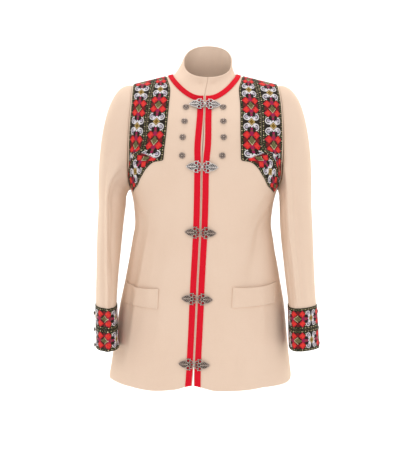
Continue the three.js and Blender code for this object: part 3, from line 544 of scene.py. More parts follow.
    def armhole_spot(self, side: int, alpha: Array) -> tuple[Array, Array]:
        """Finds the armhole edge.

        Args:
            side: -1 or 1.
            alpha: Way round the edge, 0 at the shoulder tip and rising to the front.

        Returns:
            Angles and climbs.
        """
        front = np.sin(alpha) >= -1e-9
        top = self.ridge(self.armhole_x(side, -SHOULDER_DROP))
        middle = (UNDERARM_Z + top) / 2
        z = middle + (top - middle) * np.cos(alpha)
        phi = self.angle_at(self.armhole_x(side, z), z)
        theta = side * np.where(front, phi, math.pi - phi)
        return theta, np.where(z > top - 0.001, ROLL_LENGTH, self.climb_at(theta, z))

    def plan_spot(self, psi: Array, x: Array, y: Array, front: Array) -> tuple[Array, Array]:
        """Finds a place on the shoulders that is given in plan.

        Args:
            psi: Angles round the neck, whose sign gives the side.
            x: Distances from the middle.
            y: Distances from the shoulder line.
            front: Whether each place is on a front.

        Returns:
            Angles and climbs.
        """
        side = np.where(psi < 0, -1.0, 1.0)
        depth_of = np.where(front, 1.0, 0.0)

        def place(climb: Array) -> tuple[Array, Array]:
            """Places a climb in plan.

            Args:
                climb: Climbs.

            Returns:
                Angles from the middle and distances from the shoulder line.
            """
            turn = climb / ROLL_LENGTH * HALF_PI
            bend = self.bend(front, x)
            z = ROLL_START_Z + (self.ridge(x, front) - ROLL_START_Z) * np.sin(turn) ** bend
            phi = self.angle_at(x, z)
            depth = lerp(self.back(z), self.front(z), depth_of)
            reach = depth * np.cos(phi) ** (2 / BODY_ROUNDNESS)
            return phi, reach * np.maximum(np.cos(turn), 0) ** bend

        climb = solve(lambda at: -place(at)[1], -y, 0.0, ROLL_LENGTH)
        phi = place(climb)[0]
        return side * np.where(front, phi, math.pi - phi), climb

    def neck_spot(self, psi: Array, front: Array, grow: Array = 0.0) -> tuple[Array, Array]:
        """Finds the neck seam, or a ring grown out from it.

        Args:
            psi: Angles round the neck.
            front: Whether each place is on a front.
            grow: Growth of the ring.

        Returns:
            Angles and climbs.
        """
        x = (NECK_HALF_WIDTH + grow) * np.abs(squared(np.sin(psi), NECK_ROUNDNESS))
        reach = np.where(front, NECK_FRONT, NECK_BACK) + grow
        y = reach * np.abs(squared(np.cos(psi), NECK_ROUNDNESS))
        return self.plan_spot(psi, x, y, front)

    def below_neck(self, psi: Array, distance: Array) -> tuple[Array, Array]:
        """Finds places a distance down from the neck seam along the cloth.

        Args:
            psi: Angles round the neck.
            distance: The distances.

        Returns:
            Angles and climbs.
        """
        psi, distance = matched(psi, distance)
        front = np.abs(psi) <= HALF_PI
        seam = self.point(*self.neck_spot(psi, front))

        def reach(grow: Array) -> Array:
            """Measures from the seam.

            Args:
                grow: Growth of the ring.

            Returns:
                Distances.
            """
            return np.linalg.norm(self.point(*self.neck_spot(psi, front, grow)) - seam, axis=-1)

        return self.neck_spot(psi, front, solve(reach, distance, 0.0, distance + 1e-6))


class SleeveForm:
    """Outer surface of one sleeve, in millimetres."""

    def __init__(self, body: BodyForm, side: int) -> None:
        """Reads the tables of one side.

        Args:
            body: The body that the sleeve joins.
            side: -1 or 1.
        """
        self.body, self.side = body, side
        rings = columns(SLEEVE_RINGS[side])
        self.inner, self.outer, self.crease, self.heel, self.middle, self.half = rings

    def point(self, angle: Array, way: Array) -> Array:
        """Places points of the sleeve.

        Args:
            angle: 0 faces away from the body, a quarter turn faces the front.
            way: 0 at the wrist, 1 at the top of the tube, 2 at the armhole.

        Returns:
            Points, one for each pair.
        """
        angle, way = matched(angle, way)
        z = lerp(WRIST_Z, TUBE_TOP_Z, np.minimum(way, 1))
        inner, outer = self.inner(z), self.outer(z)
        middle = (inner + outer) / 2
        ridge = np.where(np.sin(angle) > 0, self.crease(z), self.heel(z))
        skew = (ridge - middle) * np.sin(angle) ** 2
        x = middle + (outer - inner) / 2 * squared(np.cos(angle), SLEEVE_ROUNDNESS) + skew
        y = self.middle(z) - self.half(z) * squared(np.sin(angle), SLEEVE_ROUNDNESS)
        low = np.stack([self.side * x, y, z], -1)
        if way.max() <= 1:
            return low
        arc = np.clip(way - 1, 0, 1) * HALF_PI
        edge = self.body.armhole_spot(self.side, angle[:1] + CAP_WARP * np.sin(angle[:1]))
        high = np.broadcast_to(self.body.point(*edge), low.shape)
        leave = np.maximum(np.cos(arc), 0)[..., None] ** (2 / CAP_ROUNDNESS)
        rise = np.sin(arc) ** (2 / CAP_ROUNDNESS)
        cap = lerp(high, low, leave)
        cap[..., 2] = lerp(low[..., 2], high[..., 2], rise)
        return np.where(way[..., None] > 1, cap, low)

    def normal(self, angle: Array, way: Array) -> Array:
        """Works out outward normals on the tube below the cap.

        Args:
            angle: Angles round the sleeve.
            way: Ways up it.

        Returns:
            Unit vectors.
        """
        around = self.point(angle + 0.06, way) - self.point(angle - 0.06, way)
        up = self.point(angle, way + 0.02) - self.point(angle, way)
        normal = unit(np.cross(around, up))
        middle = (self.point(angle * 0, way) + self.point(angle * 0 + math.pi, way)) / 2
        outward = np.sum(normal * (self.point(angle, way) - middle), -1, keepdims=True)
        return normal * np.where(outward < 0, -1.0, 1.0)

    def middle_at(self, way: float) -> Array:
        """Returns the middle of the tube at a way up it."""
        ends = self.point(np.array([0.0, math.pi]), np.full(2, way))
        return (ends[0] + ends[1]) / 2


def operation(name: str) -> Callable[..., "Value"]:
    """Makes a method of shader values that adds one Math node.

    Args:
        name: The node's operation. On masks, the minimum joins two and the maximum unites them.

    Returns:
        The method.
    """

    def apply(value: "Value", *others: "Value | float") -> "Value":
        """Returns the result for this value and the others."""
        return value.math(name, *others)

    return apply


class Value:
    """A number socket of a shader, for sums written as Python expressions."""

    def __init__(self, shader: "Shader", socket: bpy.types.NodeSocket) -> None:
        """Wraps a socket."""
        self.shader, self.socket = shader, socket

    def math(self, operation: str, *others: "Value | float") -> "Value":
        """Adds one Math node.

        Args:
            operation: Name of the operation.
            others: Its further inputs.

        Returns:
            The result.
        """
        inputs = dict(enumerate((self, *others)))
        node = self.shader.node("ShaderNodeMath", {"operation": operation}, inputs)
        return Value(self.shader, node.outputs[0])

    __add__ = __radd__ = operation("ADD")
    __mul__ = __rmul__ = operation("MULTIPLY")
    __sub__ = operation("SUBTRACT")
    __truediv__ = operation("DIVIDE")
    __abs__ = operation("ABSOLUTE")
    __lt__ = operation("LESS_THAN")
    __gt__ = operation("GREATER_THAN")
    __and__ = operation("MINIMUM")
    __or__ = operation("MAXIMUM")
    sine = operation("SINE")
    floor = operation("FLOOR")
    root = operation("SQRT")

    def __rsub__(self, other: float) -> "Value":
        """Returns a number less this value."""
        return (self * -1.0) + other

    def folded(self, period: float) -> "Value":
        """Returns the offset from the nearest whole period."""
        return self - (self / period + 0.5).floor() * period


def distance(x: Value, y: Value) -> Value:
    """Returns the length of a pair of offsets."""
    return (x * x + y * y).root()


class Shader:
    """One material and the nodes that feed it."""

    def __init__(self, name: str, **constants: float | Colour) -> None:
        """Makes the material.

        Args:
            name: Its name.
            constants: Values set on the surface shader's own sockets, spaces written as _.
        """
        self.material = bpy.data.materials.new(name)
        self.material.use_nodes = True
        self.tree = self.material.node_tree
        self.surface = self.tree.nodes["Principled BSDF"]
        for key, value in constants.items():
            socket = self.surface.inputs[key.replace("_", " ")]
            socket.default_value = (*value, 1.0) if isinstance(value, tuple) else value

    def node(self, kind: str, settings: dict | None = None,
             inputs: dict | None = None) -> bpy.types.Node:
        """Adds a node.

        Args:
            kind: Its type.
            settings: Properties set first.
            inputs: Values or links of its sockets, by name or place.

        Returns:
            The node.
        """
        node = self.tree.nodes.new(kind)
        for key, value in (settings or {}).items():
            setattr(node, key, value)
        for key, value in (inputs or {}).items():
            socket = value.socket if isinstance(value, Value) else value
            if isinstance(socket, bpy.types.NodeSocket):
                self.tree.links.new(socket, node.inputs[key])
            elif isinstance(socket, tuple):
                has_alpha = len(node.inputs[key].default_value) == 4
                node.inputs[key].default_value = (*socket, 1.0) if has_alpha else socket
            else:
                node.inputs[key].default_value = socket
        return node

    def uv(self) -> tuple[Value, Value]:
        """Reads the piece's own map.

        Returns:
            The two coordinates, in millimetres.
        """
        place = self.node("ShaderNodeUVMap", {"uv_map": "UVMap"})
        parts = self.node("ShaderNodeSeparateXYZ", inputs={0: place.outputs[0]})
        return Value(self, parts.outputs[0]), Value(self, parts.outputs[1])

    def noise(self, scale: float, detail: float = 3.0, stretch: Colour = (1.0, 1.0, 1.0)) -> Value:
        """Returns noise on object coordinates.

        Args:
            scale: Features in a metre.
            detail: Octaves.
            stretch: Scale along each axis.

        Returns:
            Values near 0.5.
        """
        place = self.node("ShaderNodeTexCoord").outputs["Object"]
        mapped = self.node("ShaderNodeMapping", inputs={"Vector": place, "Scale": stretch})
        inputs = {"Vector": mapped.outputs[0], "Scale": scale, "Detail": detail}
        return Value(self, self.node("ShaderNodeTexNoise", inputs=inputs).outputs[0])

    def attribute(self, name: str) -> Value:
        """Returns a number kept on the piece's points."""
        node = self.node("ShaderNodeAttribute", {"attribute_name": name})
        return Value(self, node.outputs["Fac"])

    def mix(self, share: Value, low: bpy.types.NodeSocket | Colour,
            high: bpy.types.NodeSocket | Colour) -> bpy.types.NodeSocket:
        """Blends two colours.

        Args:
            share: 0 for the first, 1 for the second.
            low: First colour.
            high: Second colour.

        Returns:
            The blend.
        """
        node = self.node("ShaderNodeMix", {"data_type": "RGBA"}, {0: share, 6: low, 7: high})
        return node.outputs[2]

    def paint(self, socket: bpy.types.NodeSocket) -> None:
        """Feeds the base colour."""
        self.tree.links.new(socket, self.surface.inputs["Base Color"])

    def bump(self, height: Value, distance_m: float, strength: float = 1.0) -> None:
        """Feeds the normal from a height.

        Args:
            height: Relief, 0 to 1.
            distance_m: Depth in metres for a height of 1.
            strength: Share that is used.
        """
        inputs = {"Height": height, "Distance": distance_m, "Strength": strength}
        node = self.node("ShaderNodeBump", inputs=inputs)
        self.tree.links.new(node.outputs[0], self.surface.inputs["Normal"])


@dataclass(frozen=True)
class WoolFinish:
    """Fulled wool: soft nap, faint cloudiness and a pale bloom at grazing angles."""

    name: str
    light: Colour
    dark: Colour

    def build(self) -> bpy.types.Material:
        """Builds the material.

        Returns:
            The material.
        """
        shader = Shader(self.name, Roughness=0.95, Sheen_Weight=0.5, Sheen_Roughness=0.45,
                        Sheen_Tint=(1.0, 0.86, 0.68), Specular_IOR_Level=0.15)
        cloud = shader.noise(9, 4)
        nap = shader.noise(900, 4, (1.0, 1.0, 0.55))
        fibre = shader.noise(2600, 2, (0.4, 0.4, 1.6))
        share = (cloud - 0.35) * 0.9 + (nap - 0.5) * 0.8 + (fibre - 0.5) * 0.5
        shader.paint(shader.mix(share, self.light, self.dark))
        shader.bump(nap * 0.7 + fibre * 0.3, 0.00045, 0.6)
        return shader.material


@dataclass(frozen=True)
class BraidFinish:
    """Plaited wool braid, with painted shade in the grooves and a painted highlight on the
    strands; the map runs across and along it in millimetres.
    """

    name: str
    light: Colour
    dark: Colour
    width: float
    strand: float = STRAND

    def build(self) -> bpy.types.Material:
        """Builds the material.

        Returns:
            The material.
        """
        shader = Shader(self.name, Roughness=0.85, Sheen_Weight=0.1, Sheen_Roughness=0.4,
                        Sheen_Tint=(1.0, 0.25, 0.2), Specular_IOR_Level=0.12)
        across, along = shader.uv()
        quarter = self.width / 4
        ridge = abs(across.folded(2 * quarter))
        plait = ((along + ridge * 0.9) * (TURN / self.strand)).sine() * 0.5 + 0.5
        valley = abs(across.folded(quarter)) < 0.28
        yarn = shader.noise(1500, 3)
        relief = plait * (1 - valley * 0.7)
        # The colour follows the strands' height: painted shade in the grooves and between the
        # columns, painted light on the strand tops; the yarn noise is real tone.
        share = relief * 0.75 + (yarn - 0.5) * 0.8 + 0.15
        shader.paint(shader.mix(share, self.dark, self.light))
        shader.bump(relief * 0.8 + yarn * 0.3, 0.0005, 0.7)
        return shader.material


class Thread(Enum):
    """Colours of the threads in the woven ribbon."""

    GROUND = (0.017, 0.012, 0.009)
    SELVEDGE = (0.026, 0.024, 0.008)
    FOREST = (0.016, 0.032, 0.011)
    RED = (0.600, 0.016, 0.020)
    BRIGHT = (0.720, 0.038, 0.026)
    MAROON = (0.150, 0.008, 0.012)
    PLUM = (0.290, 0.012, 0.070)
    WHITE = (0.700, 0.660, 0.680)
    LILAC = (0.450, 0.400, 0.500)
    GOLD = (0.560, 0.390, 0.150)
    OCHRE = (0.190, 0.105, 0.010)
    LIME = (0.230, 0.215, 0.080)
    CREAM = (0.720, 0.600, 0.350)


@dataclass(frozen=True)
class RibbonFinish:
    """Woven ribbon with four-lobed flowers and paired scrolls in turn."""

    name: str
    width: float = RIBBON_WIDTH
    repeat: float = RIBBON_REPEAT
    thread: float = 0.62

    def build(self) -> bpy.types.Material:
        """Builds the material.

        Returns:
            The material.
        """
        shader = Shader(self.name, Roughness=0.8, Sheen_Weight=0.04, Specular_IOR_Level=0.15)
        raw_u, raw_v = shader.uv()
        x = (raw_u / self.thread).floor() * self.thread + (self.thread / 2 - self.width / 2)
        y = (raw_v / self.thread).floor() * self.thread + self.thread / 2
        wide = abs(x)
        layers = (
            self.borders(wide, y) + self.flower(x, wide, y.folded(self.repeat))
            + self.scrolls(wide, (y + self.repeat / 2).folded(self.repeat))
            + self.sprigs(wide, y.folded(self.repeat / 2))
        )
        colour: bpy.types.NodeSocket | Colour = Thread.GROUND.value
        raised: Value | None = None
        for mask, thread in layers:
            colour = shader.mix(mask, colour, thread.value)
            raised = mask if raised is None else raised | mask
        rib = (raw_v * (TURN / self.thread)).sine() * (raw_u * (math.pi / self.thread)).sine()
        wear = shader.noise(1300, 2)
        shader.paint(shader.mix((wear - 0.45) * 0.12, colour, (0.30, 0.26, 0.23)))
        shader.bump(raised * 0.6 + rib * 0.2 + wear * 0.3, 0.0003, 0.8)
        return shader.material

    def borders(self, wide: Value, y: Value) -> list[tuple[Value, Thread]]:
        """Lays out the selvedges and the dots beside them.

        Args:
            wide: Distance from the ribbon's middle line.
            y: Place along it.

        Returns:
            Masks and their threads, the last on top.
        """
        edge = self.width / 2 - wide
        dot = distance(edge - 3.2, y.folded(9.4))
        other = distance(edge - 3.2, (y + 4.7).folded(9.4))
        return [
            (edge < 1.4, Thread.SELVEDGE),
            (other < 1.0, Thread.LIME),
            (dot < 1.05, Thread.CREAM),
        ]

    def flower(self, x: Value, wide: Value, q: Value) -> list[tuple[Value, Thread]]:
        """Lays out the four-lobed red flower with its lattice.

        Args:
            x: Place across the ribbon.
            wide: Its size without sign.
            q: Place along it from the flower's centre.

        Returns:
            Masks and their threads, the last on top.
        """
        tall = abs(q)
        over, up = abs(wide - 10.0), abs(tall - 10.4)
        lobe = ((over + up) * 0.76) & ((over | up) * 1.28)
        notch = distance(wide - 16.2, tall - 16.8)
        petal = (lobe < 6.3) & (notch > 2.6)
        drop = distance(wide, (tall - 14.0) * 0.6) < 3.9
        side = distance((wide - 12.5) * 0.6, tall) < 3.9
        leaf = distance(wide - 18.4, tall * 0.6) < 2.0
        centre = wide * 1.3 + tall
        lines = (abs((x + q).folded(2.6)) < 0.35) | (abs((x - q).folded(2.6)) < 0.35)
        vein = (abs(wide - tall + 0.4) < 0.4) & (lobe > 2.0)
        return [
            (drop, Thread.PLUM),
            (side, Thread.MAROON),
            (leaf, Thread.FOREST),
            (petal, Thread.RED),
            ((lobe < 4.2) & (notch > 4.2), Thread.BRIGHT),
            (petal & vein & (lobe < 4.8), Thread.MAROON),
            (petal & (abs(over + up - 6.4) < 0.35) & (over > up), Thread.PLUM),
            (centre < 9.4, Thread.MAROON),
            ((abs(centre - 9.6) < 0.7) & (q > 0), Thread.CREAM),
            (centre < 8.6, Thread.GROUND),
            ((centre < 8.6) & lines, Thread.LIME),
        ]

    def scrolls(self, wide: Value, w: Value) -> list[tuple[Value, Thread]]:
        """Lays out the four white scrolls round a gold diamond.

        Args:
            wide: Distance from the ribbon's middle line.
            w: Place along it from the diamond's centre.

        Returns:
            Masks and their threads, the last on top.
        """
        tall = abs(w)
        ring = distance((wide - 10.4) * 1.08, (tall - 10.8) * 0.92)
        heart = distance(wide - 9.8, tall - 11.6)
        gap = (abs(ring - 3.9) < 0.85) & ((wide > 8.4) | (tall > 11.0))
        mouth = (ring > 3.0) & (wide < 9.2) & (tall > 11.2)
        diamond = wide + tall
        arm = (diamond > 8.6) & (diamond < 12.6) & (tall > 3.0) & (wide < 9.5)
        leaf = distance(wide * 1.1, (tall - 15.4) * 0.8) < 3.0
        return [
            ((ring < 6.7) & (1 - mouth), Thread.WHITE),
            (arm, Thread.WHITE),
            (heart < 3.2, Thread.LILAC),
            (gap | (heart < 0.8), Thread.GROUND),
            (leaf, Thread.PLUM),
            (diamond < 8.0, Thread.GROUND),
            (diamond < 7.4, Thread.GOLD),
            (diamond < 4.9, Thread.GROUND),
            (diamond < 4.0, Thread.OCHRE),
        ]

    def sprigs(self, wide: Value, h: Value) -> list[tuple[Value, Thread]]:
        """Lays out the small marks between the motifs.

        Args:
            wide: Distance from the ribbon's middle line.
            h: Place along it from the nearest motif.

        Returns:
            Masks and their threads, the last on top.
        """
        tall = abs(abs(h) - self.repeat / 4)
        leaf = distance(wide - 17.0, tall * 0.7) < 1.9
        bud = distance(wide - 14.6, tall) < 0.9
        return [(leaf, Thread.FOREST), (bud, Thread.CREAM), ((wide + tall) < 1.9, Thread.OCHRE)]


@dataclass(frozen=True)
class PewterFinish:
    """Cast pewter, dark in the hollows from patina and painted shade, and bright on the high parts
    from rubbing and a painted highlight.
    """

    name: str
    dark: Colour = (0.022, 0.017, 0.016)
    bright: Colour = (0.90, 0.84, 0.82)

    def build(self) -> bpy.types.Material:
        """Builds the material.

        Returns:
            The material.
        """
        shader = Shader(self.name, Metallic=1.0, Roughness=0.3)
        grain = shader.noise(700, 3)
        height = shader.attribute("relief")
        # The relief attribute sets the colour: patina and painted shade in the hollows, rubbing
        # and a painted highlight on the high parts.
        share = height * 1.2 - 0.06 + (grain - 0.5) * 0.4
        shader.paint(shader.mix(share, self.dark, self.bright))
        shader.bump(grain, 0.0001, 0.5)
        return shader.material


@dataclass(frozen=True)
class ThreadFinish:
    """Sewing thread with its twist."""

    name: str
    light: Colour
    dark: Colour

    def build(self) -> bpy.types.Material:
        """Builds the material.

        Returns:
            The material.
        """
        shader = Shader(self.name, Roughness=0.7, Sheen_Weight=0.2)
        twist = shader.noise(2200, 2, (1.0, 1.0, 2.5))
        shader.paint(shader.mix(twist, self.dark, self.light))
        shader.bump(twist, 0.0001, 0.5)
        return shader.material


@dataclass(frozen=True)
class StudioFinish:
    """Matt studio floor."""

    name: str
    tone: Colour

    def build(self) -> bpy.types.Material:
        """Builds the material.

        Returns:
            The material.
        """
        shader = Shader(self.name, Roughness=0.9, Specular_IOR_Level=0.1)
        cloud = shader.noise(1.5, 2)
        lower = tuple(channel * 0.985 for channel in self.tone)
        shader.paint(shader.mix(cloud, self.tone, lower))
        return shader.material


class Side(Enum):
    """The two sides of the wearer."""

    RIGHT = -1
    LEFT = 1

    @property
    def word(self) -> str:
        """Returns the side's name in piece names."""
        return self.name.lower()


def round_neck(end: float, count: int) -> Array:
    """Returns angles from one front edge round the back to the other, 0 being centre front."""
    psi = np.linspace(end, TURN - end, count)
    return np.where(psi > math.pi, psi - TURN, psi)


def edge_roll(away: Array, reach: float, depth: float) -> Array:
    """Returns how far cloth turns in near an edge that is away millimetres off."""
    return -depth * (1 - smoothstep(away, 0.0, reach)) ** 1.5


def lengths(points: Array, axis: int) -> Array:
    """Measures along a grid of points.

    Args:
        points: Rows and columns of points.
        axis: 0 along the columns, 1 along the rows.

    Returns:
        Lengths, from 0 at the first row or column.
    """
    steps = np.linalg.norm(np.diff(points, axis=axis), axis=-1)
    start = np.zeros_like(np.take(steps, [0], axis=axis))
    return np.cumsum(np.concatenate([start, steps], axis=axis), axis=axis)


def grid_normals(points: Array, centre: Array) -> Array:
    """Returns normals of a grid that point away from a centre.

    Args:
        points: Rows and columns of points.
        centre: A point inside.

    Returns:
        One unit vector for each point.
    """
    normals = unit(np.cross(np.gradient(points, axis=1), np.gradient(points, axis=0)))
    outward = np.sum(normals * (points - centre))
    return normals * (1.0 if outward > 0 else -1.0)


class Maker:
    """Turns worked-out points into named pieces that ride on the jacket."""

    @staticmethod
    def finish(name: str, mesh: bmesh.types.BMesh, material: bpy.types.Material, slot: str,
               replaces: Sequence[str] = ()) -> bpy.types.Object:
        """Makes an object of a bmesh.

        Args:
            name: The piece's name.
            mesh: Its bmesh, in metres; freed here.
            material: Its finish.
            slot: Material slot; not used.
            replaces: Nodes that it stands for.

        Returns:
            The object.
        """
        for face in mesh.faces:
            face.smooth = True
        data = bpy.data.meshes.new(name)
        mesh.to_mesh(data)
        mesh.free()
        data.materials.append(material)
        piece = bpy.data.objects.new(name, data)
        bpy.context.scene.collection.objects.link(piece)
        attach(piece, "root")
        if replaces:
            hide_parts(*replaces)
        LOG.info("%s: %d faces", name, len(data.polygons))
        return piece

    @staticmethod
    def sheet(points: Array, uv: Array, centre: Array, lower_uv: Array | None = None,
              mitre: int = 0, wrapped: bool = False) -> bmesh.types.BMesh:
        """Shapes a grid into a sheet.

        Args:
            points: Rows and columns of points, mm.
            uv: Map of the points, mm.
            centre: A point that the faces look away from.
            lower_uv: Map used for rows from the mitre on.
            mitre: First row of that map.
            wrapped: Whether the last column meets the first.

        Returns:
            The bmesh, in metres.
        """
        rows, cols = points.shape[:2]
        mesh = bmesh.new()
        bmesh.ops.create_grid(mesh, x_segments=cols - 1, y_segments=rows - 1, size=1.0)
        layer = mesh.loops.layers.uv.new("UVMap")
        places = {}
        for vertex in mesh.verts:
            j = round((vertex.co.x + 1) / 2 * (cols - 1))
            i = round((vertex.co.y + 1) / 2 * (rows - 1))
            places[vertex] = (i, j)
            vertex.co = points[i, j] * MM
        for face in mesh.faces:
            first = min(places[vertex][0] for vertex in face.verts)
            table = uv if lower_uv is None or first < mitre else lower_uv
            for loop in face.loops:
                loop[layer].uv = table[places[loop.vert]]
        mesh.normal_update()
        middle = Vector(centre) * MM
        facing = sum((face.normal.dot(face.calc_center_median() - middle)) for face in mesh.faces)
        if facing < 0:
            bmesh.ops.reverse_faces(mesh, faces=mesh.faces)
        if wrapped:
            bmesh.ops.remove_doubles(mesh, verts=mesh.verts, dist=1e-6)
        return mesh

    @staticmethod
    def thicken(piece: bpy.types.Object, thickness: float, rounding: float) -> None:
        """Gives a sheet its thickness, inwards, and rounds its edges.

        Args:
            piece: The sheet.
            thickness: In millimetres.
            rounding: Radius of the edges in millimetres.
        """
        solid = piece.modifiers.new("Thickness", "SOLIDIFY")
        solid.thickness = thickness * MM
        solid.offset = -1.0
        bevel = piece.modifiers.new("Edge", "BEVEL")
        bevel.width = rounding * MM
        bevel.segments = 2
        bevel.limit_method = "ANGLE"
        bevel.angle_limit = math.radians(60)
        bevel.harden_normals = True

    @staticmethod
    def cut(node: str, points: Array, uv: Array, centre: Array, wool: bpy.types.Material,
            rounding: float = 0.7) -> bpy.types.Object:
        """Cuts one piece of wool cloth.

        Args:
            node: The node that it stands for.
            points: Rows and columns of points of its face, mm.
            uv: Map of the points, mm.
            centre: A point that the face looks away from.
            wool: Its finish.
            rounding: Radius of its edges in millimetres.

        Returns:
            The piece.
        """
        mesh = Maker.sheet(points, uv, centre)
        piece = Maker.finish(f"{node}_cloth", mesh, wool, "wool", [node])
        Maker.thicken(piece, CLOTH, rounding)
        return piece

    @staticmethod
    def tube(mesh: bmesh.types.BMesh, path: Array, radius: Array | float, sides: int = 6) -> None:
        """Sweeps a round wire along a path and closes its ends.

        Args:
            mesh: The bmesh to add to.
            path: Points in metres.
            radius: Radius or radii in metres.
            sides: Faces round the wire.
        """
        radii = np.broadcast_to(np.asarray(radius, float), len(path))
        tangents = unit(np.gradient(path, axis=0))
        side = Vector(tangents[0]).orthogonal().normalized()
        made = bmesh.ops.create_circle(mesh, cap_ends=False, segments=sides, radius=1.0)
        ring = made["verts"]
        shape = [Vector(vertex.co) for vertex in ring]
        edges = list({edge for vertex in ring for edge in vertex.link_edges})
        for step, (spot, tangent) in enumerate(zip(path, tangents)):
            forward = Vector(tangent)
            side = (side - forward * side.dot(forward)).normalized()
            turn = Matrix((side, forward.cross(side), forward)).transposed()
            if step:
                made = bmesh.ops.extrude_edge_only(mesh, edges=edges)
                old = ring
                edges = [item for item in made["geom"] if isinstance(item, bmesh.types.BMEdge)]
                fresh = {item for item in made["geom"] if isinstance(item, bmesh.types.BMVert)}
                ring = [next(end for edge in v.link_edges if (end := edge.other_vert(v)) in fresh)
                        for v in old]
                edges = [edge for edge in edges if fresh.issuperset(edge.verts)]
            else:
                bmesh.ops.contextual_create(mesh, geom=ring)
            for vertex, offset in zip(ring, shape):
                vertex.co = Vector(spot) + turn @ (offset * radii[step])
        bmesh.ops.contextual_create(mesh, geom=ring)

    @staticmethod
    def ball(mesh: bmesh.types.BMesh, spot: Vector, radius: float, flat: float = 1.0) -> None:
        """Adds a small ball.

        Args:
            mesh: The bmesh to add to.
            spot: Its middle in metres.
            radius: In metres.
            flat: Its height as a share of its width.
        """
        place = Matrix.Translation(spot) @ Matrix.Diagonal((1.0, 1.0, flat, 1.0))
        bmesh.ops.create_icosphere(mesh, subdivisions=2, radius=radius, matrix=place)


